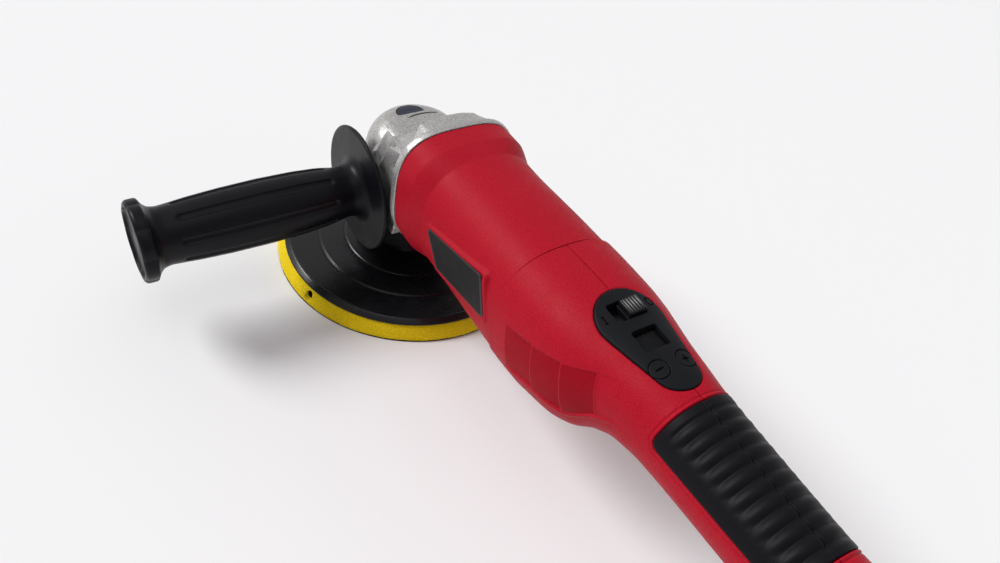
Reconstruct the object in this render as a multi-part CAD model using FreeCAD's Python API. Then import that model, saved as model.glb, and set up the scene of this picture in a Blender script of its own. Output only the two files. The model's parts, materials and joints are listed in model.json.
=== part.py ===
"""Dual action polisher: cast gear head, red two-part motor body, side handle and 180 mm hook-and-loop pad.

Frame: +Z up along the spindle, +Y forward to the gear head, -X to the side handle, millimetres.
The origin is the centre of the pad's face.
"""

import FreeCAD
import Part
import functools
import math
import os

V = FreeCAD.Vector
X_AXIS = V(1, 0, 0)
Y_AXIS = V(0, 1, 0)
Z_AXIS = V(0, 0, 1)

# ---------------------------------------------------------------- driving dimensions
PAD_RADIUS = 90.0
HOOK_THICKNESS = 0.8
FOAM_TOP = 9.8
FOAM_TOP_RADIUS = 85.0
PLATE_RIM_TOP = 13.6
PLATE_HUB_TOP = 22.0

ORBIT_OFFSET = 4.0              # spindle axis ahead of the pad axis: 8 mm orbit
SPINDLE_Y = ORBIT_OFFSET
MOTOR_Z = 92.0                  # armature axis height; it crosses the spindle axis here

HEAD_FLANGE_Y = -44.4           # joint face of gear housing and motor housing
WALL = 2.5
RUNNING = 0.05                  # radial clearance of a shaft in its bore
FIT = 0.1                       # gap around a piece let into another

HANDLE_Y = 0.0                  # side handle axis
HANDLE_Z = 65.0
HANDLE_BOSS_X = 40.2
HANDLE_END_X = 179.0
GUARD_RADIUS = 40.5
GUARD_THICKNESS = 3.0
STUD_RADIUS = 4.0               # M8

GEAR_MODULE = 1.6
PINION_TEETH = 10
GEAR_TEETH = 33
GEAR_FACE = 9.0
BACKLASH = 0.35

PANEL_FRONT = (-207.0, 18.4)    # centre y and radius of the teardrop's wide end
PANEL_PROUD = 0.5
PANEL_REAR = (-240.0, 12.0)     # centre y and radius of its narrow end
SWITCH_SLOT = (18.0, 11.5, -202.0)      # width, length, centre y
SWITCH_TRAVEL = 6.0
WINDOW_SLOT = (15.0, 12.5, -221.0)
BUTTON_X = 7.8
BUTTON_Y = -237.0
BUTTON_RADIUS = 4.8
BUTTON_TOP = 133.5
BOARD_Z = 117.5

GRIP_FRONT_Y = -259.0
GRIP_REAR_Y = -340.0
GRIP_LOWER_Z = 113.5
GRIP_SINK = 1.2
GRIP_PROUD = 0.5

LOCK_POS = V(0, 18.4, 92.4)     # spindle lock button in the front of the dome
LOCK_WELL_Z = 88.6              # underside of the well that holds the button and its spring

# dome over the spindle: radius and height
DOME_PROFILE = [(0, 52), (33.2, 52), (33.4, 62), (33.0, 76), (32.4, 84), (31.2, 90), (29.0, 94.9),
                (26.5, 98.3), (24.0, 100.6), (21.0, 102.3), (18.0, 103.3), (14.0, 103.9), (0, 104.2)]

# body stations: y, half width, top z, bottom z, superellipse exponent
COLLAR = (-44.4, 39.5, 131.3, 52.0, 3.1)
COLLAR_END = (-60.0, 39.3, 131.3, 52.0, 3.1)
MOTOR_STATIONS = [
    (-74.0, 37.2, 131.0, 52.0, 2.45),
    (-90.0, 37.2, 131.0, 52.0, 2.42),
    (-110.0, 37.4, 131.3, 51.8, 2.45),
    (-130.0, 37.7, 131.9, 51.6, 2.5),
    (-152.0, 38.0, 132.4, 51.5, 2.5),
]
REAR_STATIONS = [
    (-152.0, 39.0, 132.8, 52.5, 2.6),
    (-163.0, 39.2, 133.4, 52.6, 2.55),
    (-175.0, 39.0, 134.0, 53.0, 2.5),
    (-190.0, 38.3, 134.3, 56.0, 2.45),
    (-201.0, 37.0, 134.3, 57.8, 2.4),
    (-213.0, 34.2, 133.9, 63.0, 2.35),
    (-227.0, 29.2, 133.5, 75.5, 2.35),
    (-240.0, 26.5, 133.2, 82.0, 2.3),
    (-258.0, 24.7, 132.5, 83.8, 2.15),
    (-285.0, 23.9, 131.2, 84.6, 2.1),
    (-312.0, 23.2, 130.0, 85.0, 2.1),
    (-340.0, 22.4, 129.6, 85.3, 2.1),
    (-362.0, 23.0, 129.9, 84.6, 2.2),
    (-378.0, 23.6, 130.2, 84.2, 2.2),
]


# ---------------------------------------------------------------- shape helpers
def axis_vector(name):
    return {"x": X_AXIS, "y": Y_AXIS, "z": Z_AXIS}[name]


def cylinder(radius, start, axis, length):
    """Cylinder from the point start, running length along +axis."""
    return Part.makeCylinder(radius, length, V(*start), axis_vector(axis))


def ring(outer, inner, start, axis, length):
    return cylinder(outer, start, axis, length).cut(cylinder(inner, start, axis, length))


def block(x0, x1, y0, y1, z0, z1):
    return Part.makeBox(x1 - x0, y1 - y0, z1 - z0, V(x0, y0, z0))


def prism(points, direction):
    """Closed straight-sided outline pushed along a direction."""
    loop = [V(*p) for p in points]
    return Part.Face(Part.makePolygon(loop + loop[:1])).extrude(V(*direction))


def turned(profile, centre, axis):
    """Solid of revolution; the profile is a list of (radius, distance along the axis)."""
    if axis == "z":
        points = [V(centre[0] + r, centre[1], h) for r, h in profile]
    elif axis == "y":
        points = [V(centre[0] + r, h, centre[2]) for r, h in profile]
    else:
        points = [V(h, centre[1] + r, centre[2]) for r, h in profile]
    face = Part.Face(Part.makePolygon(points + points[:1]))
    return face.revolve(V(*centre), axis_vector(axis), 360)


def turned_smooth(profile, closing, centre):
    """Solid of revolution about X whose outside is a smooth curve through the profile points."""
    curve = Part.BSplineCurve()
    curve.interpolate([V(h, centre[1] + r, centre[2]) for r, h in profile])
    ends = [V(h, centre[1] + r, centre[2]) for r, h in [profile[-1]] + closing + [profile[0]]]
    edges = [curve.toShape()] + Part.makePolygon(ends).Edges
    return Part.Face(Part.Wire(edges)).revolve(V(*centre), X_AXIS, 360)


def fused(shapes):
    whole = shapes[0]
    for shape in shapes[1:]:
        whole = whole.fuse(shape)
    return whole.removeSplitter()


def group(shapes):
    return Part.makeCompound(shapes)


def rounded_rect(x0, x1, y0, y1, z0, z1, radius):
    """Upright block with its four vertical edges rounded."""
    solid = block(x0, x1, y0, y1, z0, z1)
    upright = [e for e in solid.Edges if abs(e.Vertexes[0].Z - e.Vertexes[-1].Z) > (z1 - z0) / 2]
    return solid.makeFillet(radius, upright)


def body_wire(station, growth=0.0):
    """Superellipse cross-section of the body at one station, grown outwards by growth."""
    y, half_width, top, bottom, power = station
    a = half_width + growth
    b = (top - bottom) / 2 + growth
    middle = (top + bottom) / 2
    count = 32
    points = []
    for k in range(count):
        angle = 2 * math.pi * k / count
        c = math.cos(angle)
        s = math.sin(angle)
        x = math.copysign(a * abs(c) ** (2 / power), c)
        z = middle + math.copysign(b * abs(s) ** (2 / power), s)
        points.append(V(x, y, z))
    curve = Part.BSplineCurve()
    curve.interpolate(points, True)
    return Part.Wire(curve.toShape())


def body_loft(stations, growth=0.0, ruled=False):
    return Part.makeLoft([body_wire(s, growth) for s in stations], True, ruled)


def moved_station(station, y):
    return (y,) + station[1:]


@functools.cache
def motor_outside(growth=0.0):
    collar = body_loft([COLLAR, COLLAR_END], growth, True)
    ramp = body_loft([COLLAR_END, MOTOR_STATIONS[0]], growth, True)
    return fused([collar, ramp, body_loft(MOTOR_STATIONS, growth)])


@functools.cache
def rear_outside(growth=0.0):
    return body_loft(REAR_STATIONS, growth)


def ball_bearing(outer, bore, width, balls, start, axis):
    """Outer race with its balls, and the inner race."""
    pitch = (outer + bore) / 2
    ball = (outer - bore) * 0.22
    race_gap = ball * 0.86
    outer_ring = ring(outer, pitch + race_gap, start, axis, width)
    inner_ring = ring(pitch - race_gap, bore, start, axis, width)
    direction = axis_vector(axis)
    across = Z_AXIS if axis == "y" else X_AXIS
    middle = V(*start) + direction * (width / 2)
    groove = Part.makeTorus(pitch, ball + RUNNING, middle, direction)
    parts = [outer_ring.cut(groove)]
    for k in range(balls):
        turn = FreeCAD.Rotation(direction, 360.0 * k / balls)
        parts.append(Part.makeSphere(ball, middle + turn.multVec(across) * pitch))
    return group(parts), inner_ring.cut(groove)


def screw(head_radius, head_height, shank_radius, length, seat, direction):
    """Socket screw whose head stands on the seat point and whose shank runs along direction."""
    way = V(*direction)
    seat = V(*seat)
    head = Part.makeCylinder(head_radius, head_height, seat - way * head_height, way)
    socket = Part.makeCylinder(head_radius * 0.5, head_height * 0.55, seat - way * head_height, way)
    shank = Part.makeCylinder(shank_radius, length, seat, way)
    return head.cut(socket).fuse(shank).removeSplitter()


def spring(radius, wire, start, length, turns, axis):
    """Helical compression spring."""
    helix = Part.makeHelix(length / turns, length, radius)
    section = Part.Wire(Part.makeCircle(wire, V(radius, 0, 0), Y_AXIS))
    coil = Part.Wire(helix.Edges).makePipeShell([section], True, True)
    place = FreeCAD.Placement(V(*start), FreeCAD.Rotation(Z_AXIS, V(*axis)))
    coil.transformShape(place.toMatrix())
    return coil


# ---------------------------------------------------------------- pad
def hook_layer():
    return cylinder(PAD_RADIUS, (0, 0, 0), "z", HOOK_THICKNESS)


def foam_layer():
    """Firm foam disc, tapered to the plate, with four vent holes in its edge."""
    disc = turned([(0, HOOK_THICKNESS), (PAD_RADIUS, HOOK_THICKNESS),
                   (FOAM_TOP_RADIUS, FOAM_TOP), (0, FOAM_TOP)], (0, 0, 0), "z")
    vent_z = (HOOK_THICKNESS + FOAM_TOP) / 2
    for k in range(4):
        vent = cylinder(2.5, (70, 0, vent_z), "x", 25)
        vent.rotate(V(0, 0, 0), Z_AXIS, 195 + 90 * k)
        disc = disc.cut(vent)
    return disc


def stud_insert(growth=0.0):
    """Steel M8 stud with a disc head, moulded into the backing plate."""
    return turned([(0, FOAM_TOP + 1.2 - growth), (16 + growth, FOAM_TOP + 1.2 - growth),
                   (16 + growth, FOAM_TOP + 4.2 + growth), (3.9 + growth, FOAM_TOP + 4.2 + growth),
                   (3.9 + growth, 35), (0, 35)], (0, 0, 0), "z")


def backing_plate():
    profile = [(0, FOAM_TOP), (FOAM_TOP_RADIUS, FOAM_TOP), (FOAM_TOP_RADIUS + 0.4, FOAM_TOP + 0.8),
               (82.2, PLATE_RIM_TOP), (81.4, PLATE_RIM_TOP - 0.3), (64.0, PLATE_RIM_TOP - 0.1),
               (63.4, PLATE_RIM_TOP - 0.8), (62.2, PLATE_RIM_TOP - 0.8), (61.6, PLATE_RIM_TOP),
               (34.0, PLATE_RIM_TOP + 1.6), (24.0, PLATE_RIM_TOP + 2.2), (19.0, PLATE_HUB_TOP),
               (0, PLATE_HUB_TOP)]
    plate = turned(profile, (0, 0, 0), "z").cut(stud_insert())
    return plate


def pad_spindle():
    """Flanged journal in the eccentric; the stud screws up into it."""
    journal = turned([(0, PLATE_HUB_TOP), (10, PLATE_HUB_TOP), (10, 27), (8, 28), (6, 28), (6, 40.4),
                      (0, 40.4)], (0, 0, 0), "z")
    return journal.cut(cylinder(3.95, (0, 0, PLATE_HUB_TOP), "z", 13.5))


def pad_journal_screw():
    """Screw and washer that hold the pad bearing's inner race; screws into the journal's top."""
    washer = cylinder(7.2, (0, 0, 40.4), "z", 0.6)
    return fused([washer, cylinder(4.0, (0, 0, 41.0), "z", 1.2)])


# ---------------------------------------------------------------- spindle and dual action drive
def spindle():
    centre = (0, SPINDLE_Y, 0)
    profile = [(0, 44), (6, 44), (6, 53), (7.5, 53), (7.5, 67), (8.5, 67), (8.5, 70), (7, 70), (7, 84),
               (6, 84), (6, 89), (5, 89), (5, 98), (0, 98)]
    return turned(profile, centre, "z")


def spindle_nut():
    corner = 11.0
    outline = []
    for k in range(6):
        angle = math.radians(60 * k + 30)
        outline.append((corner * math.cos(angle), SPINDLE_Y + corner * math.sin(angle), 84.1))
    nut = prism(outline, (0, 0, 3.2))
    return nut.cut(cylinder(6 + RUNNING, (0, SPINDLE_Y, 80), "z", 10))


def eccentric():
    """Hub on the spindle's end that carries the pad bearing off centre."""
    cup = cylinder(19, (0, 0, 27), "z", 18.4)
    hub = cylinder(11, (0, SPINDLE_Y, 45), "z", 7)
    body = fused([cup, hub]).cut(cylinder(14, (0, 0, 27), "z", 13.5))
    body = body.cut(cylinder(12, (0, 0, 40.5), "z", 2.1))
    return body.cut(cylinder(6, (0, SPINDLE_Y, 44.0), "z", 9))


def counterweight():
    """Half disc on the side away from the pad axis, keyed onto the eccentric's cup."""
    disc = cylinder(31, (0, SPINDLE_Y, 28.5), "z", 12)
    half = disc.common(block(-40, 40, SPINDLE_Y + 2, 50, 20, 60))
    return half.cut(cylinder(19, (0, 0, 20), "z", 40))


def pitch_angles():
    pinion = math.atan(PINION_TEETH / GEAR_TEETH)
    return pinion, math.pi / 2 - pinion


def cone_distance():
    return GEAR_MODULE / 2 * math.hypot(PINION_TEETH, GEAR_TEETH)


def bevel_tooth(flank, cone_angle, axis, start, apex):
    """One straight bevel tooth; flank is a list of (height, half width) at the large end."""
    radial = start
    across = axis.cross(radial)
    along = axis * math.cos(cone_angle) + radial * math.sin(cone_angle)
    outwards = radial * math.cos(cone_angle) - axis * math.sin(cone_angle)
    outline = [(h, w) for h, w in flank] + [(h, -w) for h, w in reversed(flank)]
    wires = []
    large = cone_distance()
    for distance in (large, large - GEAR_FACE):
        scale = distance / large
        loop = [apex + along * distance + outwards * (h * scale) + across * (w * scale) for h, w in outline]
        wires.append(Part.makePolygon(loop + loop[:1]))
    return Part.makeLoft(wires, True, True)


def involute_flank(teeth, cone_angle, addendum, dedendum):
    """Half widths of a tooth on the back cone, from root to tip."""
    radius = GEAR_MODULE * teeth / math.cos(cone_angle) / 2
    pressure = math.radians(20)
    base = radius * math.cos(pressure)
    half_pitch = (math.pi * GEAR_MODULE / 2 - BACKLASH) / (2 * radius)
    inv0 = math.tan(pressure) - pressure
    flank = []
    steps = 5
    for k in range(steps + 1):
        r = radius - dedendum + (addendum + dedendum) * k / steps
        turn = math.acos(min(1.0, base / r))
        half = half_pitch + inv0 - (math.tan(turn) - turn)
        flank.append((r * math.cos(half) - radius, r * math.sin(half)))
    return flank


def bevel_pinion():
    apex = V(0, SPINDLE_Y, MOTOR_Z)
    angle = pitch_angles()[0]
    large = cone_distance()
    flank = involute_flank(PINION_TEETH, angle, 0.9 * GEAR_MODULE, 1.15 * GEAR_MODULE)
    root = 1.05 * GEAR_MODULE
    back = Part.makeCone(0.01, 60 * math.tan(angle), 60, apex, V(0, -1, 0))
    heel = SPINDLE_Y - large * math.cos(angle)
    toe = SPINDLE_Y - (large - GEAR_FACE) * math.cos(angle)
    heel_r = large * math.sin(angle) - root
    toe_r = heel_r * (large - GEAR_FACE) / large
    core = turned([(0, heel - 3.5), (heel_r, heel - 3.5), (heel_r, heel), (toe_r, toe), (0, toe)],
                  (0, 0, MOTOR_Z), "y")
    teeth = []
    for k in range(PINION_TEETH):
        turn = FreeCAD.Rotation(Y_AXIS, 360.0 * k / PINION_TEETH)
        teeth.append(bevel_tooth(flank, angle, V(0, -1, 0), turn.multVec(V(0, 0, -1)), apex))
    wheel = core.fuse(teeth).common(back.fuse(cylinder(12, (0, heel - 6, MOTOR_Z), "y", 40)))
    return wheel.cut(cylinder(4, (0, heel - 10, MOTOR_Z), "y", 40))


def bevel_gear():
    apex = V(0, SPINDLE_Y, MOTOR_Z)
    angle = pitch_angles()[1]
    large = cone_distance()
    addendum = 0.9 * GEAR_MODULE
    dedendum = 1.15 * GEAR_MODULE
    half = (math.pi * GEAR_MODULE / 2 - BACKLASH) / 2
    slope = math.tan(math.radians(20))
    root = dedendum + 0.5
    flank = [(-root, half + root * slope), (addendum, half - addendum * slope)]
    root_z = MOTOR_Z - large * math.cos(angle) - dedendum * math.sin(angle)
    root_r = large * math.sin(angle) - dedendum * math.cos(angle)
    toe = (large - GEAR_FACE) / large
    toe_r = root_r * toe
    toe_z = MOTOR_Z - (MOTOR_Z - root_z) * toe
    blank = turned([(7.0, 70), (14, 70), (16, 76), (root_r, 77.5), (root_r, root_z), (toe_r, toe_z),
                    (13, 81), (12, 84), (7.0, 84)], (0, SPINDLE_Y, 0), "z")
    teeth = []
    for k in range(GEAR_TEETH):
        turn = FreeCAD.Rotation(Z_AXIS, -90 + 360.0 * (k + 0.5) / GEAR_TEETH)
        teeth.append(bevel_tooth(flank, angle, V(0, 0, -1), turn.multVec(X_AXIS), apex))
    return blank.fuse(teeth)


# ---------------------------------------------------------------- gear housing
def head_outside():
    """Dome over the spindle, boxy neck, and the flange with its raised roof and gussets."""
    dome = turned(DOME_PROFILE, (0, SPINDLE_Y, 0), "z")
    neck_rear = (-38.0, 35.5, 121.5, 54.0, 4.6)
    neck_mid = (-18.0, 30.8, 113.5, 54.0, 4.2)
    neck_front = (-2.0, 26.5, 101.5, 54.0, 4.0)
    neck = body_loft([neck_rear, neck_mid, neck_front], 0.0, True)
    flange_rear_edge = moved_station(COLLAR, -40.4)
    flange_front = (-39.2, 38.6, 130.4, 53.0, 3.1)
    flange = body_loft([COLLAR, flange_rear_edge, flange_front], 0.7, True)
    roof_low = 112.0
    roof_sections = []
    for y, corner_x, corner_z, crown_z in ((-44.4, 19.0, 130.5, 132.2), (-28.5, 18.5, 128.0, 130.4),
                                           (-20.0, 15.0, 112.5, 114.0)):
        outline = [(-corner_x, roof_low), (-corner_x, corner_z), (-corner_x / 2, crown_z - 0.5), (0, crown_z),
                   (corner_x / 2, crown_z - 0.5), (corner_x, corner_z), (corner_x, roof_low)]
        roof_sections.append([V(x, y, z) for x, z in outline])
    roof = Part.makeLoft([Part.makePolygon(points + points[:1]) for points in roof_sections], True, True)
    gussets = []
    for side in (-1, 1):
        low = prism([(side * 18, -40, 108), (side * 29, -40, 108), (side * 18, -27, 108)], (0, 0, 26))
        slope = prism([(side * 18, -41, 129.0), (side * 18, -41, 150), (side * 40, -41, 150),
                       (side * 40, -41, 118.5)], (0, 20, 0))
        gussets.append(low.cut(slope))
    bosses = [cylinder(12, (-HANDLE_BOSS_X, HANDLE_Y, HANDLE_Z), "x", 12),
              cylinder(12, (HANDLE_BOSS_X - 12, HANDLE_Y, HANDLE_Z), "x", 12)]
    return fused([dome, neck, flange, roof] + gussets + bosses)


def flange_screw_places():
    return [(side * 30.5, level) for side in (-1, 1) for level in (66.0, 117.0)]


def lock_pocket():
    """Upright slot in the dome for the spindle lock button."""
    x, y, z = LOCK_POS
    return rounded_rect(x - 9.7, x + 9.7, y - 6, y + 6, z - 2.8, z + 20, 5.5)


def gear_housing():
    solid = head_outside()
    cavity = turned([(0, 50), (28, 50), (28, 85), (26.5, 89.5), (22, 95), (16, 98.6), (0, 99.6)],
                    (0, SPINDLE_Y, 0), "z")
    solid = solid.cut(cavity)
    x, y, z = LOCK_POS
    well = rounded_rect(x - 11.5, x + 11.5, y - 7.5, y + 7.5, LOCK_WELL_Z, z + 7.5, 6.5)
    needle_seat = cylinder(10, (0, SPINDLE_Y, 90), "z", 10.5)
    solid = solid.fuse([needle_seat, well])
    solid = solid.cut(cylinder(7, (0, SPINDLE_Y, 88), "z", 11))
    solid = solid.cut(cylinder(11.5, (0, -30, MOTOR_Z), "y", 26))
    solid = solid.cut(cylinder(14, (0, -38, MOTOR_Z), "y", 9))
    solid = solid.cut(cylinder(18, (0, -41, MOTOR_Z), "y", 3))
    solid = solid.cut(cylinder(31.5, (0, HEAD_FLANGE_Y, MOTOR_Z), "y", 3.4))
    for x, z in flange_screw_places():
        solid = solid.cut(cylinder(2.1, (x, HEAD_FLANGE_Y, z), "y", 10))
    solid = solid.cut(cylinder(STUD_RADIUS + FIT, (-45, HANDLE_Y, HANDLE_Z), "x", 12.5))
    solid = solid.cut(cylinder(STUD_RADIUS, (HANDLE_BOSS_X - 11, HANDLE_Y, HANDLE_Z), "x", 20))
    for x, y in cover_screw_places():
        solid = solid.cut(cylinder(2.0, (x, y, 52), "z", 9))
    lock_x, lock_y, lock_z = LOCK_POS
    solid = solid.cut(lock_pocket())
    solid = solid.cut(cylinder(2.6, (lock_x, lock_y, 84), "z", lock_z - 84))
    return solid


def lock_button():
    """Spindle lock: a shaped cap on a pin that drops behind the gear."""
    x, y, z = LOCK_POS
    cap = rounded_rect(x - 9.4, x + 9.4, y - 5.7, y + 5.7, z + 3.4, z + 20, 5.2)
    crown = turned(DOME_PROFILE, (0, SPINDLE_Y, 0), "z")
    crown.translate(V(0, 0, 0.7))
    pin_end = 91.2
    pin = cylinder(2.5, (x, y, pin_end), "z", z + 4 - pin_end)
    return fused([cap.common(crown), pin])


def cover_screw_places():
    places = []
    for k in range(4):
        angle = math.radians(45 + 90 * k)
        places.append((30.2 * math.cos(angle), SPINDLE_Y + 30.2 * math.sin(angle)))
    return places


def spindle_cover():
    """Plate under the gear case that holds the spindle bearing and its seal."""
    profile = [(12, 46), (33, 46), (33, 52), (27.9, 52), (27.9, 55), (21, 55), (21, 66), (17.5, 66),
               (17.5, 55), (13, 55), (13, 51), (12, 51)]
    cover = turned(profile, (0, SPINDLE_Y, 0), "z")
    for x, y in cover_screw_places():
        cover = cover.cut(cylinder(2.1, (x, y, 40), "z", 20))
    return cover


def cover_screws():
    return group([screw(2.9, 2.6, 1.9, 15.5, (x, y, 44), (0, 0, 1)) for x, y in cover_screw_places()])


def drive_skirt():
    """Plastic skirt around the turning eccentric, clamped under the cover."""
    profile = [(25, 44), (33.4, 44), (33.4, 28), (36.2, 28), (36.6, 46), (36.6, 51.9), (33.1, 51.9),
               (33.1, 46), (25, 46)]
    skirt = turned(profile, (0, SPINDLE_Y, 0), "z")
    for x, y in cover_screw_places():
        skirt = skirt.cut(cylinder(2.1, (x, y, 40), "z", 10))
    return skirt


def bearing_retainer():
    plate = ring(17.8, 8, (0, -40.9, MOTOR_Z), "y", 2.8)
    return plate


# ---------------------------------------------------------------- motor
def armature_shaft():
    profile = [(0, -156.5), (4, -156.5), (4, -148.5), (5, -148.5), (5, -146), (6, -146), (6, -26.1),
               (4, -26.1), (4, -12.0), (0, -12.0)]
    return turned(profile, (0, 0, MOTOR_Z), "y")


def armature_core():
    """Laminated stack with a slot for each coil."""
    core = ring(20.6, 6 + RUNNING, (0, -120, MOTOR_Z), "y", 44)
    slots = []
    for k in range(12):
        slot = block(-1.0, 1.0, -121, -75, MOTOR_Z + 17.2, MOTOR_Z + 22)
        slot.rotate(V(0, 0, MOTOR_Z), Y_AXIS, 30 * k)
        slots.append(slot)
    return core.cut(group(slots))


def armature_winding():
    front = [(7, -75.9), (18, -75.9), (18.6, -72), (15, -68.6), (7, -68.6)]
    rear = [(7, -128.4), (13, -128.4), (18.4, -124.5), (18, -120.1), (7, -120.1)]
    return group([turned(p, (0, 0, MOTOR_Z), "y") for p in (front, rear)])


def commutator():
    drum = ring(11, 6 + RUNNING, (0, -143.5, MOTOR_Z), "y", 14)
    cuts = []
    for k in range(12):
        cut = block(-0.3, 0.3, -144, -129, MOTOR_Z + 10, MOTOR_Z + 12)
        cut.rotate(V(0, 0, MOTOR_Z), Y_AXIS, 30 * k)
        cuts.append(cut)
    return drum.cut(group(cuts))


def fan():
    hub = ring(9, 6 + RUNNING, (0, -59, MOTOR_Z), "y", 11)
    disc = ring(29, 8, (0, -50, MOTOR_Z), "y", 2)
    blades = []
    for k in range(11):
        blade = block(-0.8, 0.8, -59, -49.5, MOTOR_Z + 8.5, MOTOR_Z + 29)
        blade.rotate(V(0, 0, MOTOR_Z), Y_AXIS, 360.0 * k / 11)
        blades.append(blade)
    return hub.fuse([disc] + blades).removeSplitter()


def stator_core():
    """Back iron with two poles, flattened to the housing's sides."""
    core = ring(33.5, 28, (0, -122, MOTOR_Z), "y", 48)
    poles = []
    for side in (-1, 1):
        wedge = prism([(0, -122, MOTOR_Z), (34, -122, MOTOR_Z + side * 26), (0, -122, MOTOR_Z + side * 60),
                       (-34, -122, MOTOR_Z + side * 26)], (0, 48, 0))
        poles.append(ring(28.5, 21.6, (0, -122, MOTOR_Z), "y", 48).common(wedge))
    whole = core.fuse(poles).removeSplitter()
    for side in (-1, 1):
        whole = whole.cut(cylinder(2.1, (side * 30.6, -130, MOTOR_Z), "y", 60))
    return whole


def stator_winding():
    """Two field coils: a racetrack around each pole."""
    coils = []
    for side in (-1, 1):
        outer = ring(27.6, 22.4, (0, -129, MOTOR_Z), "y", 62)
        near = MOTOR_Z + side * 0.8
        far = MOTOR_Z + side * 40
        half = block(-40, 40, -130, -60, min(near, far), max(near, far))
        window = prism([(0, -122.4, MOTOR_Z - side * 6), (44, -122.4, MOTOR_Z + side * 28),
                        (0, -122.4, MOTOR_Z + side * 60), (-44, -122.4, MOTOR_Z + side * 28)], (0, 48.8, 0))
        coils.append(outer.common(half).cut(window))
    return group(coils)


def stator_screws():
    screws = []
    for side in (-1, 1):
        screws.append(screw(3.4, 2.6, 1.95, 70.0, (side * 30.6, -74, MOTOR_Z), (0, -1, 0)))
    return group(screws)


def motor_housing():
    """Front shell of the body, with the rear bearing bulkhead and raised side pads."""
    outside = motor_outside()
    inside = motor_outside(-WALL)
    trim = block(-60, 60, -151.9, -40, 0, 160)
    shell = outside.cut(inside)
    pads = []
    for side in (-1, 1):
        start = 34.5 if side > 0 else -38.6
        outline = [(start, -77, 99), (start, -139.5, 113.5), (start, -148.5, 85), (start, -93.5, 76)]
        pads.append(prism(outline, (4.1, 0, 0)))
    ledge = body_loft([moved_station(MOTOR_STATIONS[4], -150.0), moved_station(MOTOR_STATIONS[4], -147.0)],
                      -1.0, True)
    ledge = ledge.cut(cylinder(25, (0, -152, MOTOR_Z), "y", 10))
    spider = [ring(15.5, 11.0, (0, -157, MOTOR_Z), "y", 10)]
    for k in range(4):
        arm = block(-2.0, 2.0, -150, -147, MOTOR_Z + 14, MOTOR_Z + 27)
        arm.rotate(V(0, 0, MOTOR_Z), Y_AXIS, 45 + 90 * k)
        spider.append(arm)
    baffle = outside.common(block(-60, 60, -64.5, -62.1, 0, 160))
    baffle = baffle.cut(cylinder(24, (0, -66, MOTOR_Z), "y", 6))
    rails = []
    for side in (-1, 1):
        rail = cylinder(4.6, (side * 30.6, -147, MOTOR_Z), "y", 24.9)
        rail = rail.cut(cylinder(28.2, (0, -131, MOTOR_Z), "y", 10))
        rails.append(rail.common(outside))
    solid = shell.common(trim).fuse([p.common(motor_pad_limit()) for p in pads])
    solid = solid.fuse([ledge, baffle] + spider + rails)
    for side in (-1, 1):
        solid = solid.cut(cylinder(1.95, (side * 30.6, -146, MOTOR_Z), "y", 25))
    for x, z in flange_screw_places():
        boss = cylinder(4.4, (x, -58, z), "y", 58 - 44.4).common(outside)
        solid = solid.fuse(boss).cut(cylinder(2.1, (x, -59, z), "y", 16))
        solid = solid.cut(cylinder(3.8, (x, -66, z), "y", 11))
    return solid


def motor_pad_limit():
    """The side pads stand proud of the curved shell but stop inside its wall."""
    grown = motor_outside(2.2)
    return grown.cut(motor_outside(-1.5))


def housing_screws():
    return group([screw(3.6, 3.0, 1.95, 18.0, (x, -55, z), (0, 1, 0)) for x, z in flange_screw_places()])


def side_plate(side):
    """Thin plate let onto the side pad."""
    face = 38.6
    start = face if side > 0 else -face - 0.5
    outline = [(start, -80.6, 98.2), (start, -137.0, 111.4), (start, -145.6, 87.0), (start, -95.5, 79.4)]
    return prism(outline, (0.5, 0, 0))


def brush_holders():
    holders = []
    for side in (-1, 1):
        low, high = sorted((side * 12.6, side * 25.6))
        outer = block(low, high, -143, -131.5, MOTOR_Z - 5, MOTOR_Z + 5)
        low, high = sorted((side * 12.0, side * 24.8))
        inner = block(low, high, -141.5, -133, MOTOR_Z - 3.6, MOTOR_Z + 3.6)
        holders.append(outer.cut(inner))
    return group(holders)


def brush_sets():
    """Each carbon brush with its spring."""
    solids = []
    for side in (-1, 1):
        low, high = sorted((side * 11.1, side * 19.2))
        solids.append(block(low, high, -141.4, -133.1, MOTOR_Z - 3.5, MOTOR_Z + 3.5))
        solids.append(spring(2.6, 0.25, (side * 19.7, -137.2, MOTOR_Z), 4.6, 4, (side, 0, 0)))
    return group(solids)


# ---------------------------------------------------------------- rear body
def teardrop(growth, z0, z1):
    """Upright prism of the control panel's outline: two arcs and their tangents."""
    y1, r1 = PANEL_FRONT
    y2, r2 = PANEL_REAR
    r1 += growth
    r2 += growth
    lean = math.asin((r1 - r2) / (y1 - y2))
    c = math.cos(lean)
    s = math.sin(lean)
    right = [V(r1 * c, y1 - r1 * s, z0), V(r2 * c, y2 - r2 * s, z0)]
    left = [V(-p.x, p.y, z0) for p in right]
    edges = [Part.Arc(left[0], V(0, y1 + r1, z0), right[0]).toShape(),
             Part.LineSegment(right[0], right[1]).toShape(),
             Part.Arc(right[1], V(0, y2 - r2, z0), left[1]).toShape(),
             Part.LineSegment(left[1], left[0]).toShape()]
    return Part.Face(Part.Wire(edges)).extrude(V(0, 0, z1 - z0))


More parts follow.
